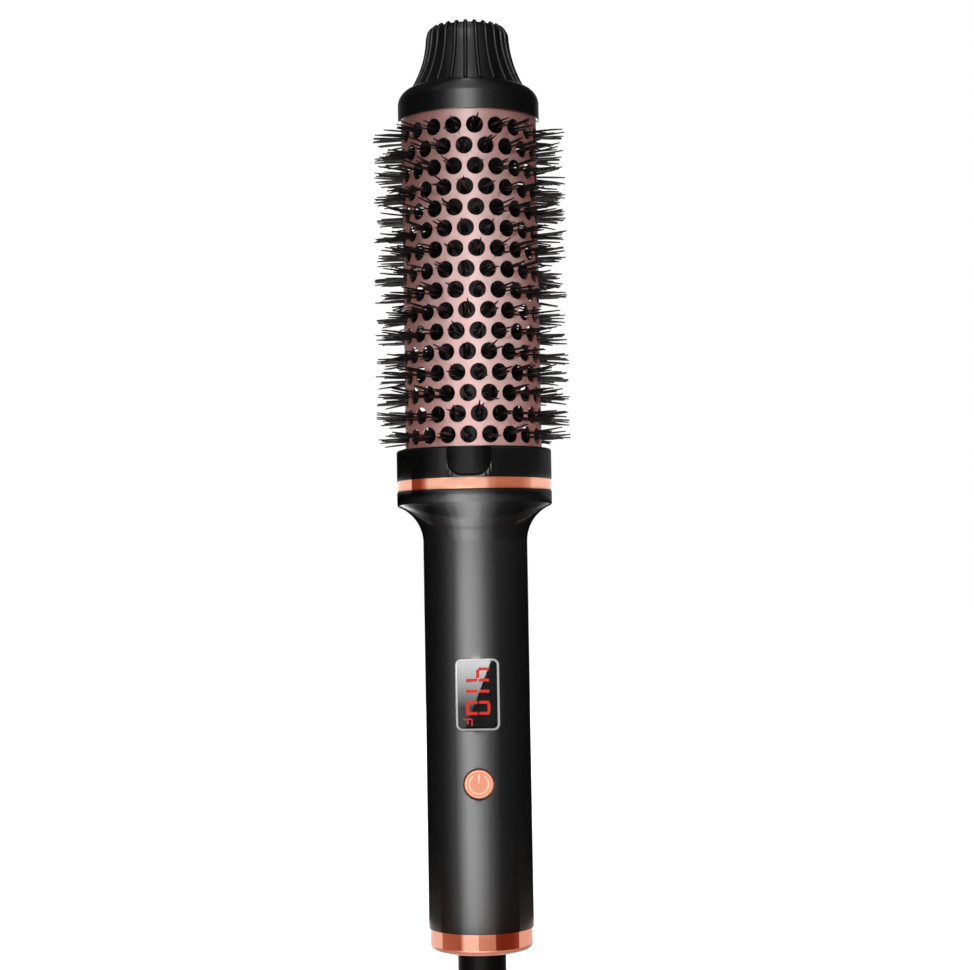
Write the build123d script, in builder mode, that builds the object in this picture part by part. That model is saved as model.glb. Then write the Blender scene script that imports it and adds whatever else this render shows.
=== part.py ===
from build123d import *
from math import asin, atan, cos, degrees, pi, radians, sin, sqrt, tan
import os

os.makedirs("parts", exist_ok=True)

# Lengths are in millimetres and angles in degrees.
# +Z runs along the brush to its cool tip, and the display and the button face -Y.
# The origin is on the axis, half way along the straight grip.

# Clearances
fit_gap = 0.1  # between pieces that are pushed together
moving_gap = 0.3  # between pieces that move past each other
seam_gap = 0.1  # between the two halves of the casing

# Casing: the straight grip and its flare
grip_radius = 15.65
grip_length = 114.6
casing_wall = 2.2
flare_radius = 11.5
flange_height = 4.3
flange_round = 0.9
flange_chamfer = 0.3
web_height = 2.0  # the casing's inner rim at each end, which traps what is fastened there
groove_wall = 2.7  # casing left outside the groove for the collar's foot

# Collar and trim ring
trim_height = 3.25
trim_inset = 0.15
collar_height = 9.2
collar_wall = 2.7  # between the barrel and the collar's outside, which the casing's flange shares
collar_round = 0.63
collar_floor = 1.8
collar_foot_reach = 2.1
collar_foot_height = 2.0
collar_spigot_wall = 2.0
scoop_width = 13.9
scoop_height = 8.8
scoop_depth = 1.7
scoop_slope = 25
scoop_corner = 4.8
scoop_dish = 40.0  # radius of its floor, hollow across the collar
scoop_clocking = -3.4

# Barrel
barrel_radius = 20.5
barrel_wall = 1.0
barrel_length = 99.5  # what shows between the collar and the tip band
hole_radius = 2.35
holes_per_row = 20
row_pitch = 6.08
first_row_height = 3.46
last_row_margin = 4.0
hole_clocking = -3.6

# Bristles and the strips that carry them
bristle_radius = 0.25
bristle_proud = 8.6
bristles_per_hole = 3
bristle_circle = 0.35
bristle_turn = 37  # from one row's tufts to the next
strip_thickness = 1.6
strip_spacing = 0.4
strip_neck_width = 1.3
strip_neck_depth = 0.8
strip_foot_depth = 0.8
slot_web = 0.9

# Heater core and what is in it
core_radius = 12.0
heat_ring_height = 4.0
ring_to_row = 1.1
heater_pocket_height = 5.2
pocket_to_slot = 2.4
film_thickness = 0.2
electrode_thickness = 0.6
chip_thickness = 2.0
chip_length = 26.0
chip_spacing = 1.0
chip_count = 3
chip_start = 8.0
electrode_tab_width = 2.0
electrode_tab_length = 2.4
screw_to_slot = 1.2
thermistor_radius = 1.2
thermistor_length = 14.0
thermistor_round = 0.95
fuse_radius = 2.0
fuse_length = 11.0
fuse_pin_radius = 0.5
fuse_pin_length = 6.0
insulator_flange = 1.6
insulator_height = 3.8
lead_slot_width = 9.6
lead_slot_height = 6.4

# Tip band and cool tip
band_height = 10.0
band_thickness = 0.8
band_shoulder = 4.4
band_shoulder_reach = 3.9
band_shoulder_bulge = (0.22, 0.45)  # the arc's middle point, as shares of its reach and height
band_floor = 1.8
band_well_wall = 1.5
tip_height = 18.7
tip_taper = 4.9
tip_crown_inset = 1.8
tip_flare_height = 16.0
tip_flare_sag = 0.9
tip_wall = 2.2
tip_plug_step = 2.7
tip_plug_wall = 1.5
tip_plug_depth = 5.0
rib_count = 24
rib_width = 1.3
rib_height = 0.7
rib_clocking = -2

# Screws
screw_edge = 0.4  # a head's round as a share of its height, and a point's chamfer of its radius
screw_slot = 0.5  # the recess's width as a share of the shank's radius
screw_slot_depth = 0.6  # and its depth as a share of the head's height
core_screw_radius = 1.2
core_screw_length = 9.0
core_screw_head = 2.2
core_screw_head_height = 1.7
casing_screw_radius = 1.4
casing_screw_length = 9.0
casing_screw_head = 2.6
casing_screw_head_height = 2.0
casing_screw_depth = 4.95  # from the seam to the head's seat
board_screw_radius = 1.0
board_screw_length = 5.0
board_screw_head = 2.0
board_screw_head_height = 1.4
boss_wall = 1.8
post_wall = 1.4

# Display
display_height = 12.25
window_width = 12.8
window_length = 21.0
window_corner = 1.9
frame_line = 0.6
frame_depth = 1.85
frame_sink = 0.03
window_ledge = 1.4
window_lip = 0.4
pad_margin = 1.8
lens_sink = 0.1
module_gap = 0.2

# Power button and its switch
button_height = -13.75
button_radius = 4.25
button_hole_gap = 0.45
button_sink = 0.55
button_edge = 0.4
button_cap_depth = 3.8
button_flange_reach = 1.35
button_flange_thickness = 0.8
button_stem_radius = 1.6
button_stem_length = 0.5
button_travel = 0.5
guide_wall = 2.2
switch_size = 6.2
switch_height = 2.0
plunger_radius = 1.75
plunger_proud = 0.8
plunger_depth = 1.1

# Control board
board_thickness = 1.6
board_side_gap = 0.85
board_lower_gap = 3.0
board_upper_gap = 1.5
board_corner = 1.5
board_screw_inset = 4.0
chip_body = (7.0, 10.0, 1.6)
triac_body = (10.0, 15.0, 4.4)
film_capacitor_body = (17.0, 11.0, 8.0)
filter_capacitor_radius = 4.0
filter_capacitor_length = 11.0
part_standoff = 0.1
part_spacing = 2.0
part_edge = 0.12  # a component's rounded edge, as a share of its height
upper_screw_drop = 11.0  # from the grip's upper end to the upper casing screw

# End cap and the turning cord joint
cap_inset = 0.45
cap_height = 6.3
cap_round = 1.5
cap_floor = 2.0
cap_wall = 1.5
cap_foot_height = 2.0
cap_foot_reach = 1.0
gland_radius = 7.15
gland_length = 9.0
gland_round = 1.0
cord_bore_radius = 3.15
gland_flange_height = 1.6
hub_wall = 2.25
hub_length = 9.4
slip_ring_wall = 1.6
slip_ring_height = 2.2
slip_ring_spacing = 2.0
housing_wall = 1.2
housing_ledge = 0.95  # the housing's rim that stands on the cap's step
housing_lid = 1.2
spring_thickness = 0.3
spring_width = 3.6
spring_tab = 1.8
spring_dimple = 0.2
spring_room = 0.8  # between the springs and the housing's wall

# Wires
lead_radius = 0.8
lead_overlap = 8.0  # how far a lead lies on the board
lead_slack = 2.0
supply_bend = 4.0
heater_bend = 12.0

# Cutting tools go this far past what they cut
cut_margin = 1.0

# Radii that the barrel sets
collar_bore = barrel_radius + fit_gap
flange_radius = collar_bore + collar_wall
band_bore = barrel_radius + fit_gap
band_radius = band_bore + band_thickness
tip_base_radius = band_radius - band_shoulder_reach
tip_rim_radius = tip_base_radius - tip_taper
tip_crown_radius = tip_rim_radius - tip_crown_inset
tip_plug_radius = tip_base_radius - tip_plug_step

# Heights of the main pieces
grip_top = grip_length / 2
grip_bottom = -grip_length / 2
flare_reach = flange_radius - grip_radius
flare_rise = sqrt(flare_radius**2 - (flare_radius - flare_reach) ** 2)
flange_base = grip_top + flare_rise
flange_top = flange_base + flange_height
collar_base = flange_top + trim_height
collar_top = collar_base + collar_height
band_base = collar_top + barrel_length
band_top = band_base + band_height
cap_bottom = grip_bottom - cap_height

# Radii that follow from them
casing_bore = grip_radius - casing_wall
groove_radius = flange_radius - groove_wall
collar_foot_radius = groove_radius - fit_gap
spigot_radius = collar_foot_radius - collar_foot_reach
mouth_radius = spigot_radius + fit_gap
barrel_bore = barrel_radius - barrel_wall
cap_radius = grip_radius - cap_inset
cap_groove_radius = cap_radius - cap_wall
cap_foot_radius = casing_bore - fit_gap
cap_spigot_radius = cap_foot_radius - cap_foot_reach
casing_lip_radius = cap_spigot_radius + fit_gap
gland_hole_radius = gland_radius + fit_gap
hub_radius = cord_bore_radius + hub_wall
slip_ring_radius = hub_radius + fit_gap / 2 + slip_ring_wall
spring_inner = slip_ring_radius + moving_gap
housing_radius = spring_inner + spring_thickness + spring_room + housing_wall
housing_seat = housing_radius - housing_ledge
spigot_bore = housing_radius + fit_gap
gland_flange_radius = housing_seat - 2 * fit_gap

# Rows of holes, from the collar up
row_count = 1 + int((barrel_length - first_row_height - last_row_margin) / row_pitch)
column_angle = 360 / holes_per_row
row_heights = [collar_top + first_row_height + row * row_pitch for row in range(row_count)]

# The core runs from the lower heat ring to the upper one
core_bottom = collar_base + collar_floor + insulator_height
upper_ring_base = row_heights[-1] + hole_radius + ring_to_row
core_top = upper_ring_base + heat_ring_height
lower_ring_top = core_bottom + heat_ring_height
barrel_bottom = collar_base + collar_floor + insulator_flange
barrel_top = band_top - band_shoulder - fit_gap
slot_floor_radius = core_radius - strip_neck_depth - strip_foot_depth
slot_foot_width = 2 * pi * slot_floor_radius / holes_per_row - slot_web
pocket_reach = slot_floor_radius - pocket_to_slot
pocket_width = 2 * sqrt(pocket_reach**2 - (heater_pocket_height / 2) ** 2)
core_screw_hole = core_screw_radius + fit_gap / 2
core_screw_circle = slot_floor_radius - screw_to_slot - core_screw_hole
channel_offset = (heater_pocket_height / 2 + slot_floor_radius) / 2
core_screw_places = [(core_screw_circle, 45), (core_screw_circle, 225)]


def around(radius, angle):
    """A point on a circle about the axis, its angle counted from the front towards +X."""
    return (radius * sin(radians(angle)), -radius * cos(radians(angle)))


def front_plane(distance, height=0.0):
    """A plane that faces the front, a distance before the axis, with +X to its right."""
    return Plane(origin=(0, -distance, height), x_dir=(1, 0, 0), z_dir=(0, -1, 0))


def pan_screw(length, shank_radius, head_radius, head_height):
    """A screw that stands on its head's seat at the origin, with its shank along -Z."""
    with BuildPart() as screw:
        with BuildSketch():
            Circle(head_radius)
        extrude(amount=head_height)
        fillet(screw.edges().sort_by(Axis.Z)[-1], head_height * screw_edge)
        with BuildSketch():
            Circle(shank_radius)
        extrude(amount=-length)
        chamfer(screw.edges().sort_by(Axis.Z)[0], shank_radius * screw_edge)
        with BuildSketch(Plane.XY.offset(head_height)):
            Rectangle(head_radius, shank_radius * screw_slot)
            Rectangle(shank_radius * screw_slot, head_radius)
        extrude(amount=-head_height * screw_slot_depth, mode=Mode.SUBTRACT)
    return screw.part


def wire(points, bends):
    """A round insulated wire along straight runs with tangent arcs."""
    with BuildPart() as run:
        with BuildLine() as route:
            FilletPolyline(*points, radius=bends)
        with BuildSketch(Plane(origin=route.line @ 0, z_dir=route.line % 0)):
            Circle(lead_radius)
        sweep(path=route.line)
    return run.part


# Casing: an outer body, less a cavity that leaves the pads and the screw bosses standing
frame_front = sqrt(grip_radius**2 - (window_width / 2) ** 2) - frame_sink
frame_back = frame_front - frame_depth
pad_back = frame_back - window_ledge
button_hole = button_radius + button_hole_gap
button_front = grip_radius - button_sink
button_flange_front = button_front - button_cap_depth
button_flange_back = button_flange_front - button_flange_thickness
plunger_front = button_flange_back - button_stem_length
switch_front = plunger_front - plunger_proud
board_front = switch_front - switch_height
guide_back = button_flange_front + moving_gap
guide_radius = button_hole + guide_wall
casing_screw_hole = casing_screw_radius + fit_gap / 2
casing_boss = casing_screw_hole + boss_wall
head_recess = casing_screw_head + moving_gap
recess_boss = head_recess + post_wall
board_screw_hole = board_screw_radius + fit_gap / 2
board_post = board_screw_hole + post_wall
gland_flange_base = cap_bottom + cap_floor + moving_gap
gland_flange_top = gland_flange_base + gland_flange_height
hub_top = gland_flange_top + hub_length
housing_base = gland_flange_top + moving_gap
housing_lid_base = hub_top + moving_gap
housing_top = housing_lid_base + housing_lid
lower_screw_height = housing_top + recess_boss + moving_gap
upper_screw_height = grip_top - upper_screw_drop
casing_screw_heights = [lower_screw_height, upper_screw_height]
board_bottom = lower_screw_height + recess_boss + board_lower_gap
board_top = upper_screw_height - recess_boss - board_upper_gap
board_screw_heights = [board_bottom + board_screw_inset, board_top - board_screw_inset]

with BuildPart() as cavity:
    with BuildSketch(Plane.XZ):
        with BuildLine():
            inner_flare = flare_radius + casing_wall
            flare_end = grip_radius + flare_radius - sqrt(inner_flare**2 - flare_rise**2)
            rise_angle = asin(flare_rise / inner_flare) / 2
            flare_middle = (
                grip_radius + flare_radius - inner_flare * cos(rise_angle),
                grip_top + inner_flare * sin(rise_angle),
            )
            Polyline(
                (0, grip_bottom),
                (casing_lip_radius, grip_bottom),
                (casing_lip_radius, grip_bottom + web_height),
                (casing_bore, grip_bottom + web_height),
                (casing_bore, grip_top),
            )
            ThreePointArc((casing_bore, grip_top), flare_middle, (flare_end, flange_base))
            Polyline(
                (flare_end, flange_base),
                (groove_radius, flange_base),
                (groove_radius, flange_top - web_height),
                (mouth_radius, flange_top - web_height),
                (mouth_radius, flange_top),
                (0, flange_top),
                (0, grip_bottom),
            )
        make_face()
    revolve(axis=Axis.Z)
    with BuildSketch(front_plane(pad_back, display_height)):
        Rectangle(window_width + 2 * pad_margin, window_length + 2 * pad_margin)
    extrude(amount=grip_radius, mode=Mode.SUBTRACT)
    with BuildSketch(front_plane(guide_back, button_height)):
        Circle(guide_radius)
    extrude(amount=grip_radius, mode=Mode.SUBTRACT)
    for height in board_screw_heights:
        with BuildSketch(front_plane(board_front, height)):
            Circle(board_post)
        extrude(amount=grip_radius, mode=Mode.SUBTRACT)
    for height in casing_screw_heights:
        with BuildSketch(front_plane(0, height)):
            Circle(casing_boss)
        extrude(amount=grip_radius, mode=Mode.SUBTRACT)
        with BuildSketch(front_plane(0, height)):
            Circle(recess_boss)
        extrude(amount=-grip_radius, mode=Mode.SUBTRACT)

with BuildPart() as casing:
    with BuildSketch(Plane.XZ):
        with BuildLine():
            rise_angle = asin(flare_rise / flare_radius) / 2
            flare_middle = (
                grip_radius + flare_radius * (1 - cos(rise_angle)),
                grip_top + flare_radius * sin(rise_angle),
            )
            Polyline((0, grip_bottom), (grip_radius, grip_bottom), (grip_radius, grip_top))
            ThreePointArc((grip_radius, grip_top), flare_middle, (flange_radius, flange_base))
            Polyline(
                (flange_radius, flange_base),
                (flange_radius, flange_top),
                (0, flange_top),
                (0, grip_bottom),
            )
        make_face()
    revolve(axis=Axis.Z)
    rims = casing.edges().filter_by(GeomType.CIRCLE).sort_by(Axis.Z)
    flange_edges = [edge for edge in rims if abs(edge.radius - flange_radius) < 0.01]
    fillet(flange_edges[0], flange_round)
    chamfer(casing.edges().filter_by(GeomType.CIRCLE).sort_by(Axis.Z)[-1], flange_chamfer)
    add(cavity.part, mode=Mode.SUBTRACT)
    # The window's pocket, and the smaller opening behind its ledge
    with BuildSketch(front_plane(frame_back, display_height)):
        RectangleRounded(window_width + 2 * fit_gap, window_length + 2 * fit_gap, window_corner)
    extrude(amount=grip_radius, mode=Mode.SUBTRACT)
    with BuildSketch(front_plane(frame_back, display_height)):
        inset = 2 * (frame_line + window_lip)
        RectangleRounded(window_width - inset, window_length - inset, window_corner / 2)
    extrude(amount=-2 * window_ledge, mode=Mode.SUBTRACT)
    with BuildSketch(front_plane(guide_back, button_height)):
        Circle(button_hole)
    extrude(amount=grip_radius, mode=Mode.SUBTRACT)
    for height in board_screw_heights:
        with BuildSketch(front_plane(board_front, height)):
            Circle(board_screw_hole)
        extrude(amount=board_screw_length, mode=Mode.SUBTRACT)
    for height in casing_screw_heights:
        with BuildSketch(front_plane(0, height)):
            Circle(casing_screw_hole)
        extrude(amount=casing_screw_length, mode=Mode.SUBTRACT)
        with BuildSketch(front_plane(0, height)):
            Circle(casing_screw_hole)
        extrude(amount=-grip_radius, mode=Mode.SUBTRACT)
        with BuildSketch(front_plane(-casing_screw_depth, height)):
            Circle(head_recess)
        extrude(amount=-grip_radius, mode=Mode.SUBTRACT)

with BuildPart() as front_shell:
    add(casing.part)
    split(bisect_by=Plane.XZ.offset(seam_gap / 2), keep=Keep.TOP)
front_shell.part.label = "front_shell"
export_step(front_shell.part, "parts/front_shell.step")

with BuildPart() as rear_shell:
    add(casing.part)
    split(bisect_by=Plane.XZ.offset(-seam_gap / 2), keep=Keep.BOTTOM)
rear_shell.part.label = "rear_shell"
export_step(rear_shell.part, "parts/rear_shell.step")

casing_screw = pan_screw(
    casing_screw_length, casing_screw_radius, casing_screw_head, casing_screw_head_height
)
with BuildPart() as shell_screws:
    with Locations(*[
        Location((0, casing_screw_depth, height), (-90, 0, 0)) for height in casing_screw_heights
    ]):
        add(casing_screw)
shell_screws.part.label = "shell_screws"
export_step(shell_screws.part, "parts/shell_screws.step")

# Trim ring between the casing's flange and the collar
with BuildPart() as trim_ring:
    with BuildSketch(Plane.XY.offset(flange_top)):
        Circle(flange_radius - trim_inset)
        Circle(mouth_radius, mode=Mode.SUBTRACT)
    extrude(amount=trim_height)
trim_ring.part.label = "trim_ring"
export_step(trim_ring.part, "parts/trim_ring.step")

# Scoop: what the collar's notch takes away, its floor hollow across and its sides sloping out
scoop_inset = scoop_depth * tan(radians(scoop_slope))
with BuildPart() as scoop:
    with BuildSketch(Plane(
        origin=(*around(flange_radius - scoop_depth, scoop_clocking), collar_top),
        x_dir=(cos(radians(scoop_clocking)), sin(radians(scoop_clocking)), 0),
        z_dir=(sin(radians(scoop_clocking)), -cos(radians(scoop_clocking)), 0),
    )) as scoop_floor:
        with Locations((0, scoop_inset - scoop_height)):
            Rectangle(
                scoop_width - 2 * scoop_inset,
                2 * scoop_height,
                align=(Align.CENTER, Align.MIN),
            )
        fillet(scoop_floor.vertices().group_by(Axis.Z)[0], scoop_corner - scoop_inset)
    extrude(amount=scoop_depth + cut_margin, taper=-scoop_slope)
    with Locations((*around(flange_radius - scoop_depth + scoop_dish, scoop_clocking), collar_top)):
        Cylinder(scoop_dish, 4 * scoop_height, mode=Mode.INTERSECT)

# Collar: a cup for the barrel's lower end, on a spigot that the casing's halves close on
foot_base = flange_top - web_height - fit_gap - collar_foot_height
with BuildPart() as collar:
    with BuildSketch(Plane.XZ):
        with BuildLine():
            Polyline(
                (0, collar_base),
                (spigot_radius - collar_spigot_wall, collar_base),
                (spigot_radius - collar_spigot_wall, foot_base),
                (collar_foot_radius, foot_base),
                (collar_foot_radius, foot_base + collar_foot_height),
                (spigot_radius, foot_base + collar_foot_height),
                (spigot_radius, collar_base),
                (flange_radius, collar_base),
                (flange_radius, collar_top),
                (collar_bore, collar_top),
                (collar_bore, collar_base + collar_floor),
                (0, collar_base + collar_floor),
                (0, collar_base),
            )
        make_face()
    revolve(axis=Axis.Z)
    top_edges = collar.edges().filter_by(GeomType.CIRCLE).group_by(Axis.Z)[-1]
    fillet(top_edges.sort_by(SortBy.RADIUS)[-1], collar_round)
    add(scoop.part, mode=Mode.SUBTRACT)
    with BuildSketch(Plane.XY.offset(collar_base)):
        Rectangle(lead_slot_width, lead_slot_height)
        with Locations(*[around(*place) for place in core_screw_places]):
            Circle(core_screw_hole)
        with Locations((0, channel_offset)):
            Circle(thermistor_radius + fit_gap)
    extrude(amount=collar_floor, mode=Mode.SUBTRACT)
collar.part.label = "collar"
export_step(collar.part, "parts/collar.step")

# Insulator between the collar and the hot core
with BuildPart() as insulator_disc:
    with BuildSketch(Plane.XY.offset(collar_base + collar_floor)):
        Circle(barrel_radius)
    extrude(amount=insulator_flange)
    with BuildSketch(Plane.XY.offset(collar_base + collar_floor + insulator_flange)):
        Circle(barrel_bore - fit_gap)
    extrude(amount=insulator_height - insulator_flange)
    with BuildSketch(Plane.XY.offset(collar_base + collar_floor)):
        Rectangle(lead_slot_width, lead_slot_height)
        with Locations(*[around(*place) for place in core_screw_places]):
            Circle(core_screw_hole)
        with Locations((0, channel_offset)):
            Circle(thermistor_radius + fit_gap)
        with Locations((0, -channel_offset)):
            Circle(fuse_pin_radius + fit_gap)
    extrude(amount=insulator_height, mode=Mode.SUBTRACT)
insulator_disc.part.label = "insulator_disc"
export_step(insulator_disc.part, "parts/insulator_disc.step")

# Heater core: an extrusion with a slot for each strip, a heater pocket and four channels
with BuildPart() as heater_core:
    with BuildSketch(Plane.XY.offset(core_bottom)):
        Circle(core_radius)
        with PolarLocations(core_radius, holes_per_row, hole_clocking + column_angle / 4 - 90):
            Rectangle(2 * (strip_neck_depth + fit_gap), strip_neck_width, mode=Mode.SUBTRACT)
        foot_middle = slot_floor_radius + strip_foot_depth / 2
        with PolarLocations(foot_middle, holes_per_row, hole_clocking + column_angle / 4 - 90):
            Rectangle(strip_foot_depth, slot_foot_width, mode=Mode.SUBTRACT)
        Rectangle(pocket_width, heater_pocket_height, mode=Mode.SUBTRACT)
        with Locations(*[around(*place) for place in core_screw_places]):
            Circle(core_screw_hole, mode=Mode.SUBTRACT)
        with Locations((0, channel_offset)):
            Circle(thermistor_radius + fit_gap, mode=Mode.SUBTRACT)
        with Locations((0, -channel_offset)):
            Circle(fuse_radius + fit_gap, mode=Mode.SUBTRACT)
    extrude(amount=core_top - core_bottom)
heater_core.part.label = "heater_core"
export_step(heater_core.part, "parts/heater_core.step")

# Heat rings at the core's two ends, which the barrel fits over
for ring_name, ring_base in [("lower_heat_ring", core_bottom), ("upper_heat_ring", upper_ring_base)]:
    with BuildPart() as heat_ring:
        with BuildSketch(Plane.XY.offset(ring_base)):
            Circle(barrel_bore - fit_gap)
            Circle(core_radius + fit_gap / 2, mode=Mode.SUBTRACT)
        extrude(amount=heat_ring_height)
    heat_ring.part.label = ring_name
    export_step(heat_ring.part, f"parts/{ring_name}.step")

# Heater stack in the core's pocket: film, plate, chips, plate, film and wedge
stack_front = -heater_pocket_height / 2 + fit_gap / 2
chips_back = stack_front + film_thickness + electrode_thickness + chip_thickness
stack_back = chips_back + electrode_thickness + film_thickness
film_bottom = core_bottom + chip_start / 2
chips_top = core_bottom + chip_start + chip_count * (chip_length + chip_spacing) - chip_spacing
film_top = chips_top + chip_start / 2
film_width = pocket_width - 2 * fit_gap
plate_width = film_width - 2 * film_thickness - fit_gap
with BuildPart() as insulating_film:
    with BuildSketch(Plane.XY.offset(film_bottom)):
        with Locations((0, (stack_front + stack_back) / 2)):
            Rectangle(film_width, stack_back - stack_front)
            Rectangle(
                film_width - 2 * film_thickness,
                stack_back - stack_front - 2 * film_thickness,
                mode=Mode.SUBTRACT,
            )
    extrude(amount=film_top - film_bottom)
insulating_film.part.label = "insulating_film"
export_step(insulating_film.part, "parts/insulating_film.step")

with BuildPart() as ptc_chips:
    for chip in range(chip_count):
        chip_base = core_bottom + chip_start + chip * (chip_length + chip_spacing)
        with BuildSketch(Plane.XY.offset(chip_base)):
            with Locations((0, chips_back - chip_thickness / 2)):
                Rectangle(plate_width, chip_thickness)
        extrude(amount=chip_length)
ptc_chips.part.label = "ptc_chips"
export_step(ptc_chips.part, "parts/ptc_chips.step")

tab_offset = lead_slot_width / 2 - electrode_tab_width / 2 - 2 * fit_gap
front_plate_y = stack_front + film_thickness + electrode_thickness / 2
rear_plate_y = chips_back + electrode_thickness / 2
tab_bottom = core_bottom - electrode_tab_length
with BuildPart() as electrode_plates:
    for side, plate_y in [(1, front_plate_y), (-1, rear_plate_y)]:
        with BuildSketch(Plane.XY.offset(film_bottom)):
            with Locations((0, plate_y)):
                Rectangle(plate_width, electrode_thickness)
        extrude(amount=chips_top - film_bottom)
        with BuildSketch(Plane.XY.offset(tab_bottom)):
            with Locations((side * tab_offset, plate_y)):
                Rectangle(electrode_tab_width, electrode_thickness)
        extrude(amount=film_bottom - tab_bottom)
electrode_plates.part.label = "electrode_plates"
export_step(electrode_plates.part, "parts/electrode_plates.step")

wedge_back = heater_pocket_height / 2 - fit_gap / 2
with BuildPart() as clamp_wedge:
    with BuildSketch(Plane.XY.offset(core_bottom + chip_start)):
        with Locations((0, (stack_back + wedge_back) / 2)):
            Rectangle(plate_width, wedge_back - stack_back)
    extrude(amount=chips_top - core_bottom - chip_start)
clamp_wedge.part.label = "clamp_wedge"
export_step(clamp_wedge.part, "parts/clamp_wedge.step")

with BuildPart() as thermistor:
    with BuildSketch(Plane.XY.offset(collar_base)):
        with Locations((0, channel_offset)):
            Circle(thermistor_radius)
    extrude(amount=collar_floor + insulator_height + thermistor_length)
    fillet(thermistor.edges().sort_by(Axis.Z)[-1], thermistor_round)
thermistor.part.label = "thermistor"
export_step(thermistor.part, "parts/thermistor.step")

with BuildPart() as thermal_fuse:
    with BuildSketch(Plane.XY.offset(core_bottom + fuse_pin_length / 2)):
        with Locations((0, -channel_offset)):
            Circle(fuse_radius)
    extrude(amount=fuse_length)
    with BuildSketch(Plane.XY.offset(core_bottom - insulator_height / 2)):
        with Locations((0, -channel_offset)):
            Circle(fuse_pin_radius)
    extrude(amount=fuse_length + 2 * fuse_pin_length)
thermal_fuse.part.label = "thermal_fuse"
export_step(thermal_fuse.part, "parts/thermal_fuse.step")

# Screws that hold the tip band and the collar to the core
core_screw = pan_screw(
    core_screw_length, core_screw_radius, core_screw_head, core_screw_head_height
)
with BuildPart() as upper_core_screws:
    with Locations(*[(*around(*place), core_top + band_floor) for place in core_screw_places]):
        add(core_screw)
upper_core_screws.part.label = "upper_core_screws"
export_step(upper_core_screws.part, "parts/upper_core_screws.step")

with BuildPart() as lower_core_screws:
    with Locations(*[
        Location((*around(*place), collar_base), (180, 0, 0)) for place in core_screw_places
    ]):
        add(core_screw)
lower_core_screws.part.label = "lower_core_screws"
export_step(lower_core_screws.part, "parts/lower_core_screws.step")

# Barrel: each row of holes stands half a pitch round from the row below it
hole_places = []
for row, height in enumerate(row_heights):
    for column in range(holes_per_row):
        angle = hole_clocking + column_angle * (column + 0.5 * (row % 2))
        start = Vector(*around(barrel_bore - cut_margin, angle), height)
        outward = Vector(*around(1, angle), 0)
        hole_places.append(Plane(origin=start, z_dir=outward).location)
with BuildPart() as barrel_tube:
    with BuildSketch(Plane.XY.offset(barrel_bottom)):
        Circle(barrel_radius)
        Circle(barrel_bore, mode=Mode.SUBTRACT)
    extrude(amount=barrel_top - barrel_bottom)
    with Locations(*hole_places):
        Cylinder(
            hole_radius,
            barrel_wall + 2 * cut_margin,
            align=(Align.CENTER, Align.CENTER, Align.MIN),
            mode=Mode.SUBTRACT,
        )
barrel_tube.part.label = "barrel_tube"
export_step(barrel_tube.part, "parts/barrel_tube.step")

# One bristle strip along +X, then the full set: a strip serves one column of each set of rows
strip_bottom = lower_ring_top + fit_gap
strip_length = upper_ring_base - fit_gap - strip_bottom
strip_seat = core_radius + fit_gap
strip_width = 2 * pi * strip_seat / holes_per_row - strip_spacing
root_radius = strip_seat + strip_thickness / 2
hole_room = hole_radius - moving_gap - bristle_radius - bristle_circle
splay = degrees(atan(hole_room / (barrel_radius - root_radius)))
bristle_length = (barrel_radius + bristle_proud - root_radius) / cos(radians(splay))
bristle_places = []
for row, height in enumerate(row_heights):
    lean = radians(column_angle / 4) * (1 if row % 2 else -1)
    outward = Vector(cos(lean), sin(lean), 0)
    sideways = Vector(-sin(lean), cos(lean), 0)
    for bristle in range(bristles_per_hole):
        spin = 2 * pi * bristle / bristles_per_hole + radians(bristle_turn * row)
        offset = sideways * cos(spin) + Vector(0, 0, 1) * sin(spin)
        root = outward * root_radius + offset * bristle_circle + Vector(0, 0, height)
        direction = outward + offset * tan(radians(splay))
        bristle_places.append(Plane(origin=root, z_dir=direction).location)
with BuildPart() as strip:
    with BuildSketch(Plane.XY.offset(strip_bottom)):
        with Locations((strip_seat + strip_thickness / 2, 0)):
            Rectangle(strip_thickness, strip_width)
        foot_inner = slot_floor_radius + fit_gap
        foot_outer = slot_floor_radius + strip_foot_depth - fit_gap
        with Locations(((foot_inner + strip_seat) / 2, 0)):
            Rectangle(strip_seat - foot_inner, strip_neck_width - 2 * fit_gap)
        with Locations(((foot_inner + foot_outer) / 2, 0)):
            Rectangle(foot_outer - foot_inner, slot_foot_width - 2 * fit_gap)
    extrude(amount=strip_length)
    with Locations(*bristle_places):
        Cylinder(
            bristle_radius, bristle_length, align=(Align.CENTER, Align.CENTER, Align.MIN)
        )
with BuildPart() as bristle_strips:
    with PolarLocations(0, holes_per_row, hole_clocking + column_angle / 4 - 90):
        add(strip.part)
bristle_strips.part.label = "bristle_strips"
export_step(bristle_strips.part, "parts/bristle_strips.step")

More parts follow.
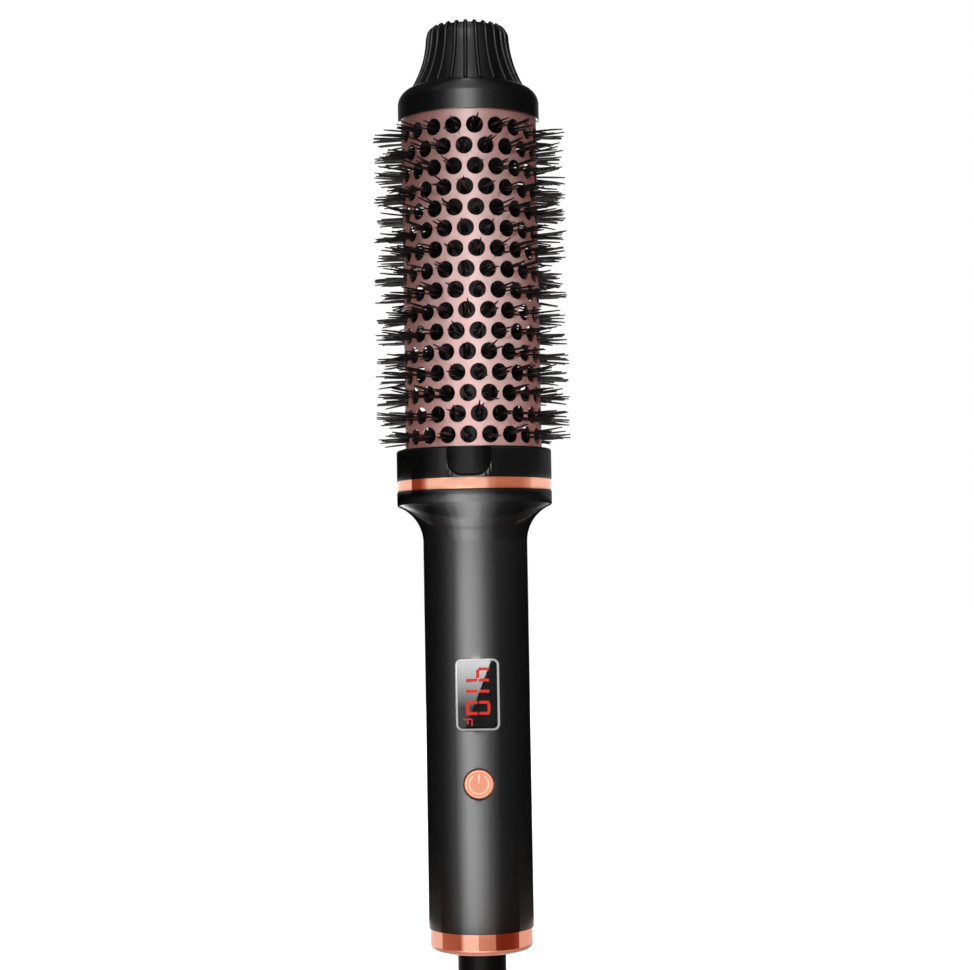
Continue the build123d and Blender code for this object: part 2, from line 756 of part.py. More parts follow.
# Tip band: a cap over the barrel's upper end, with a well for the cool tip's plug
well_radius = tip_plug_radius + fit_gap
with BuildPart() as tip_band:
    with BuildSketch(Plane.XZ):
        with BuildLine():
            Polyline(
                (0, core_top),
                (well_radius + band_well_wall, core_top),
                (well_radius + band_well_wall, barrel_top + fit_gap),
                (band_bore, barrel_top + fit_gap),
                (band_bore, band_base),
                (band_radius, band_base),
                (band_radius, band_top - band_shoulder),
            )
            shoulder_middle = (
                band_radius - band_shoulder_reach * band_shoulder_bulge[0],
                band_top - band_shoulder * band_shoulder_bulge[1],
            )
            ThreePointArc(
                (band_radius, band_top - band_shoulder),
                shoulder_middle,
                (tip_base_radius, band_top),
            )
            Polyline(
                (tip_base_radius, band_top),
                (well_radius, band_top),
                (well_radius, core_top + band_floor),
                (0, core_top + band_floor),
                (0, core_top),
            )
        make_face()
    revolve(axis=Axis.Z)
    with BuildSketch(Plane.XY.offset(core_top)):
        with Locations(*[around(*place) for place in core_screw_places]):
            Circle(core_screw_hole)
    extrude(amount=band_floor, mode=Mode.SUBTRACT)
tip_band.part.label = "tip_band"
export_step(tip_band.part, "parts/tip_band.step")


def tip_outline(inset):
    """The cool tip's side, from its base to its crown, moved towards the axis by an inset."""
    flare = ThreePointArc(
        (tip_base_radius - inset, band_top),
        (
            (tip_base_radius + tip_rim_radius) / 2 - tip_flare_sag - inset,
            band_top + tip_flare_height / 2 - tip_flare_sag / 2,
        ),
        (tip_rim_radius - inset, band_top + tip_flare_height),
    )
    TangentArc(
        (tip_rim_radius - inset, band_top + tip_flare_height),
        (tip_crown_radius - inset, band_top + tip_height),
        tangent=flare % 1,
    )


# Cool tip: a hollow flared body with rounded ribs, on a plug for the band's well
hollow_base = tip_plug_radius - tip_plug_wall
hollow_top = tip_crown_radius - rib_height - tip_wall
hollow_height = tip_height - tip_wall
with BuildPart() as rib:
    with BuildLine(Plane.XZ) as rib_line:
        tip_outline(rib_width / 2)
    with BuildSketch(Plane(origin=rib_line.line @ 0, z_dir=rib_line.line % 0)):
        Circle(rib_width / 2)
    sweep(path=rib_line.line)
with BuildPart() as tip_knob:
    with BuildSketch(Plane.XZ):
        with BuildLine():
            tip_outline(rib_height)
            Polyline(
                (tip_crown_radius - rib_height, band_top + tip_height),
                (0, band_top + tip_height),
                (0, band_top - tip_plug_depth),
                (tip_plug_radius, band_top - tip_plug_depth),
                (tip_plug_radius, band_top),
                (tip_base_radius - rib_height, band_top),
            )
        make_face()
    revolve(axis=Axis.Z)
    with PolarLocations(0, rib_count, rib_clocking - 90):
        add(rib.part)
    with BuildSketch(Plane.XY.offset(band_top)):
        Circle(tip_base_radius + rib_width)
        Circle(tip_plug_radius, mode=Mode.SUBTRACT)
    extrude(amount=-rib_width, mode=Mode.SUBTRACT)
    with BuildSketch(Plane.XZ):
        with BuildLine():
            Polyline(
                (0, band_top - tip_plug_depth),
                (hollow_base, band_top - tip_plug_depth),
                (hollow_base, band_top),
                (hollow_top, band_top + hollow_height),
                (0, band_top + hollow_height),
                (0, band_top - tip_plug_depth),
            )
        make_face()
    revolve(axis=Axis.Z, mode=Mode.SUBTRACT)
tip_knob.part.label = "tip_knob"
export_step(tip_knob.part, "parts/tip_knob.step")

# Display: frame, pane and the module behind it
with BuildPart() as display_frame:
    with BuildSketch(front_plane(frame_back, display_height)):
        RectangleRounded(window_width, window_length, window_corner)
        RectangleRounded(
            window_width - 2 * frame_line,
            window_length - 2 * frame_line,
            window_corner - frame_line,
            mode=Mode.SUBTRACT,
        )
    extrude(amount=frame_depth)
display_frame.part.label = "display_frame"
export_step(display_frame.part, "parts/display_frame.step")

pane_width = window_width - 2 * frame_line - fit_gap
pane_length = window_length - 2 * frame_line - fit_gap
with BuildPart() as display_lens:
    with BuildSketch(front_plane(frame_back, display_height)):
        RectangleRounded(pane_width, pane_length, window_corner - frame_line - fit_gap / 2)
    extrude(amount=frame_depth - lens_sink)
display_lens.part.label = "display_lens"
export_step(display_lens.part, "parts/display_lens.step")

with BuildPart() as display_module:
    with BuildSketch(front_plane(board_front, display_height)):
        opening_inset = 2 * (frame_line + window_lip + module_gap)
        RectangleRounded(
            window_width - opening_inset, window_length - opening_inset, window_corner / 2
        )
    extrude(amount=frame_back - module_gap - board_front)
display_module.part.label = "display_module"
export_step(display_module.part, "parts/display_module.step")

# Power button with its retaining flange and stem, and the switch under it
with BuildPart() as power_button:
    with BuildSketch(front_plane(button_flange_front, button_height)):
        Circle(button_radius)
    extrude(amount=button_cap_depth)
    front_edge = power_button.edges().sort_by(Axis.Y)[0]
    fillet(front_edge, button_edge)
    with BuildSketch(front_plane(button_flange_back, button_height)):
        Circle(button_radius + button_flange_reach)
    extrude(amount=button_flange_thickness)
    with BuildSketch(front_plane(plunger_front, button_height)):
        Circle(button_stem_radius)
    extrude(amount=button_flange_back - plunger_front)
power_button.part.label = "power_button"
export_step(power_button.part, "parts/power_button.step")

with BuildPart() as switch_plunger:
    with BuildSketch(front_plane(switch_front - plunger_depth, button_height)):
        Circle(plunger_radius)
    extrude(amount=plunger_proud + plunger_depth)
switch_plunger.part.label = "switch_plunger"
export_step(switch_plunger.part, "parts/switch_plunger.step")

with BuildPart() as tact_switch:
    with BuildSketch(front_plane(board_front, button_height)):
        Rectangle(switch_size, switch_size)
    extrude(amount=switch_height)
    with BuildSketch(front_plane(switch_front, button_height)):
        Circle(plunger_radius + fit_gap)
    extrude(amount=-(plunger_depth + button_travel + fit_gap), mode=Mode.SUBTRACT)
tact_switch.part.label = "tact_switch"
export_step(tact_switch.part, "parts/tact_switch.step")

# Control board, screwed to two posts of the front shell
board_back = board_front - board_thickness
board_width = 2 * (sqrt(casing_bore**2 - board_front**2) - board_side_gap)
board_length = board_top - board_bottom
board_middle = (board_top + board_bottom) / 2
with BuildPart() as main_board:
    with BuildSketch(front_plane(board_back, 0)):
        with Locations((0, board_middle)):
            RectangleRounded(board_width, board_length, board_corner)
        with Locations(*[(0, height) for height in board_screw_heights]):
            Circle(board_screw_hole, mode=Mode.SUBTRACT)
    extrude(amount=board_thickness)
main_board.part.label = "main_board"
export_step(main_board.part, "parts/main_board.step")

board_screw = pan_screw(
    board_screw_length, board_screw_radius, board_screw_head, board_screw_head_height
)
with BuildPart() as board_screws:
    with Locations(*[
        Location((0, -board_back, height), (-90, 0, 0)) for height in board_screw_heights
    ]):
        add(board_screw)
board_screws.part.label = "board_screws"
export_step(board_screws.part, "parts/board_screws.step")

# Components on the board's back, from the cord end up
film_capacitor_height = (
    board_screw_heights[0] + board_screw_head + part_spacing + film_capacitor_body[1] / 2
)
triac_height = film_capacitor_height + (film_capacitor_body[1] + triac_body[1]) / 2 + part_spacing
chip_height = triac_height + (triac_body[1] + chip_body[1]) / 2 + part_spacing
for name, size, height in [
    ("film_capacitor", film_capacitor_body, film_capacitor_height),
    ("triac", triac_body, triac_height),
    ("control_chip", chip_body, chip_height),
]:
    with BuildPart() as component:
        with BuildSketch(front_plane(board_back - part_standoff, height)):
            Rectangle(size[0], size[1])
        extrude(amount=-size[2])
        fillet(component.edges().sort_by(Axis.Y)[-4:], size[2] * part_edge)
    component.part.label = name
    export_step(component.part, f"parts/{name}.step")

can_middle = board_back - part_standoff - filter_capacitor_radius
can_base = chip_height + chip_body[1] / 2 + part_spacing
with BuildPart() as filter_capacitor:
    with BuildSketch(Plane.XY.offset(can_base)):
        with Locations((0, -can_middle)):
            Circle(filter_capacitor_radius)
    extrude(amount=filter_capacitor_length)
    fillet(filter_capacitor.edges().sort_by(Axis.Z)[0], filter_capacitor_radius * part_edge)
filter_capacitor.part.label = "filter_capacitor"
export_step(filter_capacitor.part, "parts/filter_capacitor.step")

# End cap: the casing's lower rim is trapped between its wall and the foot of its spigot
cap_foot_base = grip_bottom + web_height + fit_gap
with BuildPart() as end_cap:
    with BuildSketch(Plane.XZ):
        with BuildLine():
            Polyline(
                (gland_hole_radius, cap_bottom),
                (cap_radius, cap_bottom),
                (cap_radius, grip_bottom),
                (cap_groove_radius, grip_bottom),
                (cap_groove_radius, cap_bottom + cap_floor),
                (cap_spigot_radius, cap_bottom + cap_floor),
                (cap_spigot_radius, cap_foot_base),
                (cap_foot_radius, cap_foot_base),
                (cap_foot_radius, cap_foot_base + cap_foot_height),
                (spigot_bore, cap_foot_base + cap_foot_height),
                (spigot_bore, housing_base),
                (housing_seat, housing_base),
                (housing_seat, cap_bottom + cap_floor),
                (gland_hole_radius, cap_bottom + cap_floor),
                (gland_hole_radius, cap_bottom),
            )
        make_face()
    revolve(axis=Axis.Z)
    bottom_edges = end_cap.edges().filter_by(GeomType.CIRCLE).group_by(Axis.Z)[0]
    fillet(bottom_edges.sort_by(SortBy.RADIUS)[-1], cap_round)
end_cap.part.label = "end_cap"
export_step(end_cap.part, "parts/end_cap.step")

# Gland that turns in the end cap, with two slip rings on its hub
gland_bottom = cap_bottom - gland_length
with BuildPart() as swivel_gland:
    with BuildSketch(Plane.XZ):
        with BuildLine():
            Polyline(
                (cord_bore_radius, gland_bottom),
                (gland_radius, gland_bottom),
                (gland_radius, gland_flange_base),
                (gland_flange_radius, gland_flange_base),
                (gland_flange_radius, gland_flange_top),
                (hub_radius, gland_flange_top),
                (hub_radius, hub_top),
                (cord_bore_radius, hub_top),
                (cord_bore_radius, gland_bottom),
            )
        make_face()
    revolve(axis=Axis.Z)
    end_edges = swivel_gland.edges().filter_by(GeomType.CIRCLE).group_by(Axis.Z)[0]
    fillet(end_edges.sort_by(SortBy.RADIUS)[-1], gland_round)
swivel_gland.part.label = "swivel_gland"
export_step(swivel_gland.part, "parts/swivel_gland.step")

lower_ring_height = gland_flange_top + slip_ring_spacing / 2
slip_ring_bases = [lower_ring_height, lower_ring_height + slip_ring_height + slip_ring_spacing]
with BuildPart() as slip_rings:
    for ring_base in slip_ring_bases:
        with BuildSketch(Plane.XY.offset(ring_base)):
            Circle(slip_ring_radius)
            Circle(hub_radius + fit_gap / 2, mode=Mode.SUBTRACT)
        extrude(amount=slip_ring_height)
slip_rings.part.label = "slip_rings"
export_step(slip_rings.part, "parts/slip_rings.step")

# Contact springs: upright leaves, each with a dimple on its own slip ring
spring_middle = spring_inner + spring_thickness / 2
spring_bottom = slip_ring_bases[0]
spring_top = housing_top + spring_tab
with BuildPart() as contact_springs:
    for side, ring_base in zip((1, -1), slip_ring_bases):
        with BuildSketch(Plane.XY.offset(spring_bottom)):
            with Locations((side * spring_middle, 0)):
                Rectangle(spring_thickness, spring_width)
        extrude(amount=spring_top - spring_bottom)
        with BuildSketch(Plane.XY.offset(ring_base + slip_ring_height / 4)):
            with Locations((side * (spring_inner - spring_dimple / 2), 0)):
                Rectangle(spring_dimple, spring_width / 3)
        extrude(amount=slip_ring_height / 2)
contact_springs.part.label = "contact_springs"
export_step(contact_springs.part, "parts/contact_springs.step")

with BuildPart() as swivel_housing:
    with BuildSketch(Plane.XY.offset(housing_base)):
        Circle(housing_radius)
    extrude(amount=housing_top - housing_base)
    with BuildSketch(Plane.XY.offset(housing_base)):
        Circle(housing_radius - housing_wall)
    extrude(amount=housing_lid_base - housing_base, mode=Mode.SUBTRACT)
    with BuildSketch(Plane.XY.offset(housing_lid_base)):
        with Locations((spring_middle, 0), (-spring_middle, 0)):
            Rectangle(spring_thickness + fit_gap, spring_width + fit_gap)
    extrude(amount=housing_lid, mode=Mode.SUBTRACT)
swivel_housing.part.label = "swivel_housing"
export_step(swivel_housing.part, "parts/swivel_housing.step")

# Wires inside the casing
wire_depth = board_back - part_standoff - lead_radius
supply_points = [
    (spring_middle, 0, spring_top + 2 * fit_gap),
    (spring_middle, 0, lower_screw_height + lead_slack),
    (spring_middle, -wire_depth, board_bottom),
    (spring_middle, -wire_depth, board_bottom + lead_overlap),
]
with BuildPart() as supply_leads:
    add(wire(supply_points, supply_bend))
    add(wire([(-x, y, z) for x, y, z in supply_points], supply_bend))
supply_leads.part.label = "supply_leads"
export_step(supply_leads.part, "parts/supply_leads.step")

lead_offset = recess_boss + lead_radius + 3 * moving_gap
lead_turn = upper_screw_height + recess_boss + lead_slack
with BuildPart() as heater_leads:
    for side, plate_y in [(1, front_plate_y), (-1, rear_plate_y)]:
        add(wire(
            [
                (side * lead_offset, -wire_depth, board_top - lead_overlap),
                (side * lead_offset, -wire_depth, lead_turn - lead_overlap),
                (side * tab_offset, plate_y, lead_turn + lead_overlap),
                (side * tab_offset, plate_y, tab_bottom - 2 * fit_gap),
            ],
            heater_bend,
        ))
heater_leads.part.label = "heater_leads"
export_step(heater_leads.part, "parts/heater_leads.step")

sensor_depth = wire_depth / 3
with BuildPart() as sensor_lead:
    add(wire(
        [
            (lead_offset, sensor_depth, board_top - lead_overlap),
            (lead_offset, sensor_depth, lead_turn - lead_overlap),
            (0, channel_offset, lead_turn + lead_overlap),
            (0, channel_offset, collar_base - 2 * fit_gap),
        ],
        heater_bend,
    ))
sensor_lead.part.label = "sensor_lead"
export_step(sensor_lead.part, "parts/sensor_lead.step")
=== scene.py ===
import math
import random

import bpy
from mathutils import Matrix, Vector


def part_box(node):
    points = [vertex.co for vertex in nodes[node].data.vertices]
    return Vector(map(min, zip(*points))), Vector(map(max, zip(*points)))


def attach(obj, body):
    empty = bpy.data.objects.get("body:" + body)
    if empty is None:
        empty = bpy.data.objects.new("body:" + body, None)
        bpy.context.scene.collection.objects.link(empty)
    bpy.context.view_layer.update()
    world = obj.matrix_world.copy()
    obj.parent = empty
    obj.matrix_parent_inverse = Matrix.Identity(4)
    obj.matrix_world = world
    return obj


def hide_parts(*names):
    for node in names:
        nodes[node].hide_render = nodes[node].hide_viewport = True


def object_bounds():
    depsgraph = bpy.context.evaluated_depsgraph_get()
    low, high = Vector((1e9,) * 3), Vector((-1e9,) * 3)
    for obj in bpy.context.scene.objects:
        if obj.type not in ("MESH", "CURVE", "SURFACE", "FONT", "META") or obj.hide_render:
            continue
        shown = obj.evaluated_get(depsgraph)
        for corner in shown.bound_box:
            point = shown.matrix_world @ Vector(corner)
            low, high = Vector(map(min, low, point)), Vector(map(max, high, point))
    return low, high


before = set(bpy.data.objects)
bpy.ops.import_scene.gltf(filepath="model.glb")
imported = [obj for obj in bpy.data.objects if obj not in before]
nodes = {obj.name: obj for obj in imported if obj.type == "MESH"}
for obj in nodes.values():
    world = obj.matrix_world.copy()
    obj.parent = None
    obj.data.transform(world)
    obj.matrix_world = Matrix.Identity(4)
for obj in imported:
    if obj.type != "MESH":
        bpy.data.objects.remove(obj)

mm = 0.001
random.seed(7)
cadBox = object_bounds()
print("frame loaded with", len(nodes), "nodes")


def linear(hexColour):
    channels = [int(hexColour[i:i + 2], 16) / 255 for i in (0, 2, 4)]
    return [c / 12.92 if c <= 0.04045 else ((c + 0.055) / 1.055) ** 2.4 for c in channels] + [1.0]


def newMaterial(name):
    material = bpy.data.materials.new(name)
    material.use_nodes = True
    tree = material.node_tree
    return material, tree, tree.nodes["Principled BSDF"]


def addNode(tree, kind, settings=None, links=None):  # a key is one of the node's own settings or a socket
    node = tree.nodes.new(kind)
    for key, value in (settings or {}).items():
        if isinstance(key, str) and hasattr(node, key):
            setattr(node, key, value)
        else:
            node.inputs[key].default_value = value
    for key, source in (links or {}).items():
        tree.links.new(source, node.inputs[key])
    return node


def setStops(ramp, wanted):
    stops = ramp.color_ramp.elements
    while len(stops) < len(wanted):
        stops.new(0.5)
    for stop, (position, colour) in zip(stops, wanted):
        stop.position = position
        stop.color = colour


def twoTones(tree, source, deep, light, low=0.0, high=1.0):  # from the deep colour to the light one
    ramp = addNode(tree, "ShaderNodeValToRGB", {}, {"Fac": source})
    setStops(ramp, [(low, linear(deep)), (high, linear(light))])
    return ramp.outputs["Color"]


def spread(tree, source, low, high):  # what goes from 0 to 1 goes from low to high
    return addNode(tree, "ShaderNodeMapRange", {"To Min": low, "To Max": high}, {"Value": source}).outputs["Result"]


def objectPlace(tree):
    return addNode(tree, "ShaderNodeTexCoord").outputs["Object"]


def noise(tree, place, size, more=None):  # patches of that size in millimetres
    return addNode(tree, "ShaderNodeTexNoise", {"Scale": 1 / (size * mm), **(more or {})},
                   {"Vector": place}).outputs["Fac"]


def heightOf(tree, place):
    return addNode(tree, "ShaderNodeSeparateXYZ", {}, {"Vector": place}).outputs["Z"]


def setShader(shader, values):
    for key, value in values.items():
        shader.inputs[key].default_value = value


def dress(material, *names):
    for name in names:
        slots = nodes[name].data.materials
        slots.clear()
        slots.append(material)


def deselectAll():
    if bpy.context.object and bpy.context.object.mode != "OBJECT":
        bpy.ops.object.mode_set(mode="OBJECT")
    bpy.ops.object.select_all(action="DESELECT")


def pick(piece):
    deselectAll()
    piece.select_set(True)
    bpy.context.view_layer.objects.active = piece


def placed(piece):  # moves the place, turn and size of a piece into its mesh
    pick(piece)
    bpy.ops.object.transform_apply(location=True, rotation=True, scale=True)
    return piece


def shaped(piece, kind, **settings):  # one modifier, applied
    pick(piece)
    modifier = piece.modifiers.new(kind.lower(), kind)
    for key, value in settings.items():
        setattr(modifier, key, value)
    bpy.ops.object.modifier_apply(modifier=modifier.name)
    return piece


def smooth(piece, angle=35):
    pick(piece)
    bpy.ops.object.shade_smooth_by_angle(angle=math.radians(angle))


def copied(piece, matrix):
    twin = bpy.data.objects.new(piece.name, piece.data.copy())
    twin.data.transform(matrix)
    bpy.context.scene.collection.objects.link(twin)
    return twin


def joined(pieces, name):
    pick(pieces[0])
    for piece in pieces:
        piece.select_set(True)
    bpy.ops.object.join()
    pieces[0].name = name
    pieces[0].data.name = name
    return pieces[0]


def chooseEdges(piece, wanted):  # leaves the piece in edit mode with the edges whose two ends are wanted
    pick(piece)
    bpy.ops.object.mode_set(mode="EDIT")
    bpy.ops.mesh.select_mode(type="EDGE")
    bpy.ops.mesh.select_all(action="DESELECT")
    bpy.ops.object.mode_set(mode="OBJECT")
    for edge in piece.data.edges:
        edge.select = all(wanted(piece.data.vertices[v].co) for v in edge.vertices)
    bpy.ops.object.mode_set(mode="EDIT")


def chooseFaces(piece, wanted):  # leaves the piece in edit mode with the faces whose middle is wanted
    pick(piece)
    bpy.ops.object.mode_set(mode="EDIT")
    bpy.ops.mesh.select_mode(type="FACE")
    bpy.ops.mesh.select_all(action="DESELECT")
    bpy.ops.object.mode_set(mode="OBJECT")
    for face in piece.data.polygons:
        face.select = wanted(face.center)
    bpy.ops.object.mode_set(mode="EDIT")


def finished(piece, material, body, slot, *replaced):
    piece.data.materials.clear()
    piece.data.materials.append(material)
    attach(piece, body)
    if replaced:
        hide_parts(*replaced)


rounding = {"weld": 0.001, "flatWithin": 0.5, "sharpFrom": 30, "smoothTo": 50, "segments": 3}


def softened(name, material, body, slot, width):  # a CAD shape with its sharp edges rounded over
    twin = copied(nodes[name], Matrix.Identity(4))
    twin.name = name + "_finished"
    pick(twin)
    bpy.ops.object.mode_set(mode="EDIT")
    bpy.ops.mesh.select_all(action="SELECT")
    bpy.ops.mesh.remove_doubles(threshold=rounding["weld"] * mm)
    bpy.ops.mesh.dissolve_limited(angle_limit=math.radians(rounding["flatWithin"]))
    bpy.ops.object.mode_set(mode="OBJECT")
    shaped(twin, "BEVEL", width=width * mm, segments=rounding["segments"], limit_method="ANGLE",
           angle_limit=math.radians(rounding["sharpFrom"]), use_clamp_overlap=True)
    smooth(twin, rounding["smoothTo"])
    shaped(twin, "WEIGHTED_NORMAL", keep_sharp=True, weight=100)
    finished(twin, material, body, slot, name)
    return twin


flare = {"low": 57.35, "high": 68.1, "kept": 0.3}


def easeFlare(shell):  # levels the flare's normals, so its gloss shows the studio rather than the grip below it
    mesh = shell.data
    normals = []
    for loop, corner in zip(mesh.loops, mesh.corner_normals):
        normal = corner.vector.copy()
        spot = mesh.vertices[loop.vertex_index].co
        outside = normal.x * spot.x + normal.y * spot.y > 0
        if outside and normal.z < 0 and flare["low"] * mm < spot.z < flare["high"] * mm:
            normal.z *= flare["kept"]
        normals.append(normal.normalized())
    mesh.normals_split_custom_set(normals)


def mouldedPlastic(name, look):
    # ABS from a spark-eroded mould: a satin black with a fine grain that softens the highlight
    material, tree, shader = newMaterial(name)
    place = objectPlace(tree)
    grain = noise(tree, place, look["grain"], {"Detail": 3.0, "Roughness": 0.6})
    cloud = noise(tree, place, look["cloud"], {"Detail": 2.0})
    tone = twoTones(tree, cloud, look["dark"], look["light"], 0.3, 0.7)
    gloss = spread(tree, grain, look["roughness"] * 0.9, look["roughness"] * 1.1)
    if "polish" in look:  # the mould is polished towards its two ends, where the satin turns to gloss
        end = look["polishSpan"]
        share = addNode(tree, "ShaderNodeMapRange", {"From Min": -end * mm, "From Max": end * mm},
                        {"Value": heightOf(tree, place)})
        polish = addNode(tree, "ShaderNodeValToRGB", {}, {"Fac": share.outputs["Result"]})
        setStops(polish, [((level + end) / (2 * end), [left, left, left, 1]) for level, left in look["polish"]])
        gloss = addNode(tree, "ShaderNodeMath", {"operation": "MULTIPLY"},
                        {0: gloss, 1: polish.outputs["Color"]}).outputs[0]
    bump = addNode(tree, "ShaderNodeBump",
                   {"Strength": look["bump"], "Distance": 0.02 * mm}, {"Height": grain})
    setShader(shader, {"Specular IOR Level": look["specular"], "IOR": 1.53})
    tree.links.new(tone, shader.inputs["Base Color"])
    tree.links.new(gloss, shader.inputs["Roughness"])
    tree.links.new(bump.outputs["Normal"], shader.inputs["Normal"])
    return material


casingLook = {"dark": "050505", "light": "080808", "grain": 0.35, "cloud": 22, "roughness": 0.12, "bump": 0.04,
              "specular": 0.69, "polish": ((-58, 0.35), (-48, 1.0), (66, 1.0), (68.3, 0.35)), "polishSpan": 100}
tipLook = {"dark": "060606", "light": "0A0A0A", "grain": 0.3, "cloud": 15, "roughness": 0.09, "bump": 0.04,
           "specular": 0.5}


def platedRose(name, look):
    # ABS plated with rose-coloured metal: a mirror with a warm tint and faint polishing haze
    material, tree, shader = newMaterial(name)
    place = objectPlace(tree)
    haze = noise(tree, place, look["haze"], {"Detail": 4.0})
    tone = twoTones(tree, haze, look["deep"], look["colour"])
    gloss = spread(tree, haze, look["roughness"] * 0.7, look["roughness"] * 1.3)
    # past an edge the plating turns matt and a darker rose, a painted shade: on the cap's foot and on the rim of the
    # button's face
    if "shadedEdgeBelow" in look:
        within = heightOf(tree, place)
        edge = look["shadedEdgeBelow"]
    else:
        across = addNode(tree, "ShaderNodeVectorMath",
                         {"operation": "MULTIPLY_ADD", 1: (-1, 0, -1), 2: (0, 0, look["middle"] * mm)}, {0: place})
        beyond = addNode(tree, "ShaderNodeVectorMath", {"operation": "LENGTH"}, {0: across.outputs["Vector"]})
        within = addNode(tree, "ShaderNodeMath", {"operation": "MULTIPLY", 1: -1.0},
                         {0: beyond.outputs["Value"]}).outputs[0]
        edge = -look["shadedEdgeBeyond"]
    bright = addNode(tree, "ShaderNodeMapRange", {"From Min": (edge - look["fade"]) * mm,
                                                  "From Max": (edge + look["fade"]) * mm}, {"Value": within})
    colour = addNode(tree, "ShaderNodeMix", {"data_type": "RGBA", 6: linear(look["shadedEdgeColour"])},
                     {0: bright.outputs["Result"], 7: tone})
    rough = addNode(tree, "ShaderNodeMix", {"data_type": "FLOAT", 2: look["matt"]},
                    {0: bright.outputs["Result"], 3: gloss})
    tree.links.new(bright.outputs["Result"], shader.inputs["Metallic"])
    tree.links.new(colour.outputs[2], shader.inputs["Base Color"])
    tree.links.new(rough.outputs[0], shader.inputs["Roughness"])
    return material


plating = {"colour": "FFC0A7", "deep": "FBB79D", "haze": 1.6, "roughness": 0.02, "matt": 0.5, "fade": 0.15}
# past these edges the rose is painted matt and darker, a painted shade
plateLook = {**plating, "shadedEdgeColour": "CD785F", "shadedEdgeBelow": -62.2}
buttonLook = {**plating, "shadedEdgeColour": "F4A287", "shadedEdgeBeyond": 3.8, "middle": -13.75}


def coatedBarrel(look):
    # Aluminium under a sprayed ceramic coat with metal flake: dusty rose, a soft bright stripe, fine speckle
    material, tree, shader = newMaterial("Ceramic-coated aluminium, sprayed")
    place = objectPlace(tree)
    flake = addNode(tree, "ShaderNodeTexVoronoi",
                    {"Scale": 1 / (look["flake"] * mm)}, {"Vector": place})
    speckle = noise(tree, place, look["speckle"], {"Detail": 3.0})
    tone = twoTones(tree, speckle, look["deep"], look["colour"], 0.3, 0.7)
    gloss = spread(tree, flake.outputs["Distance"], look["roughness"] - 0.05, look["roughness"] + 0.05)
    bump = addNode(tree, "ShaderNodeBump", {"Strength": 0.15, "Distance": 0.01 * mm}, {"Height": speckle})
    # the coat's colour is darkened towards the tip end, a painted shade
    tipShade = addNode(tree, "ShaderNodeMapRange", {"From Min": look["low"] * mm, "From Max": look["high"] * mm,
                                                "To Min": 1.0, "To Max": look["shadedTowardsTip"]},
                   {"Value": heightOf(tree, place)})
    shadedTowardsTip = addNode(tree, "ShaderNodeVectorMath", {"operation": "SCALE"},
                      {"Vector": tone, "Scale": tipShade.outputs["Result"]})
    setShader(shader, {"Metallic": look["metallic"], "Coat Weight": look["coat"],
                       "Coat Roughness": look["coatRoughness"], "Coat IOR": look["coatIor"]})
    tree.links.new(shadedTowardsTip.outputs["Vector"], shader.inputs["Base Color"])
    tree.links.new(gloss, shader.inputs["Roughness"])
    tree.links.new(bump.outputs["Normal"], shader.inputs["Normal"])
    return material


# shadedTowardsTip is the share of the coat's colour left at the tip end by the painted shade
barrelLook = {"colour": "AF6E68", "deep": "A2635C", "flake": 0.12, "speckle": 0.25, "roughness": 0.48,
              "low": 100, "high": 186, "shadedTowardsTip": 0.6, "metallic": 0.18, "coat": 1.0, "coatRoughness": 0.18,
              "coatIor": 1.85}


def bristleNylon(look):
    # Drawn nylon filament, dyed through: near black with a warm cast and a narrow sheen along each bristle
    material, tree, shader = newMaterial("Nylon filament, drawn")
    place = objectPlace(tree)
    patches = noise(tree, place, look["patch"])
    tone = twoTones(tree, patches, look["dark"], look["light"], 0.35, 0.65)
    gloss = spread(tree, patches, look["roughness"] - 0.05, look["roughness"] + 0.05)
    setShader(shader, {"IOR": 1.53, "Specular IOR Level": look["specular"]})
    tree.links.new(tone, shader.inputs["Base Color"])
    tree.links.new(gloss, shader.inputs["Roughness"])
    return material


nylonLook = {"dark": "080505", "light": "120C0B", "patch": 2.5, "roughness": 0.4, "specular": 0.25}

collarLook = {"dark": "050505", "light": "080808", "grain": 0.3, "cloud": 12, "roughness": 0.04, "bump": 0.01,
              "specular": 0.3}

glandLook = {"dark": "070707", "light": "0B0B0B", "grain": 0.3, "cloud": 8, "roughness": 0.35, "bump": 0.2,
             "specular": 0.05}

casingPlastic = mouldedPlastic("ABS, moulded satin", casingLook)
glandPlastic = mouldedPlastic("PVC, moulded matt", glandLook)
tipPlastic = mouldedPlastic("Glass-filled nylon, moulded satin", tipLook)
collarPlastic = mouldedPlastic("Glass-filled nylon, moulded from a polished tool", collarLook)
rosePlate = platedRose("Rose plated ABS, polished", plateLook)
buttonPlate = platedRose("Rose plated ABS, polished, its rim painted in shade", buttonLook)
barrelCoat = coatedBarrel(barrelLook)
nylon = bristleNylon(nylonLook)
dress(glandPlastic, "swivel_gland")
dress(tipPlastic, "tip_knob", "tip_band")
print("outside materials made")


def plainFinish(name, look):
    # what the inner pieces share: two close colours in patches, a gloss that wanders a little, a fine bump
    material, tree, shader = newMaterial(name)
    place = objectPlace(tree)
    stretched = addNode(tree, "ShaderNodeMapping", {"Scale": look.get("stretch", (1, 1, 1))}, {"Vector": place})
    patches = noise(tree, stretched.outputs["Vector"], look["size"], {"Detail": 3.0})
    tone = twoTones(tree, patches, look["deep"], look["colour"], 0.35, 0.65)
    gloss = spread(tree, patches, look["roughness"] - 0.06, look["roughness"] + 0.06)
    bump = addNode(tree, "ShaderNodeBump", {"Strength": look.get("bump", 0.2), "Distance": 0.02 * mm},
                   {"Height": patches})
    setShader(shader, {"Metallic": look.get("metallic", 0.0)})
    tree.links.new(tone, shader.inputs["Base Color"])
    tree.links.new(gloss, shader.inputs["Roughness"])
    tree.links.new(bump.outputs["Normal"], shader.inputs["Normal"])
    return material


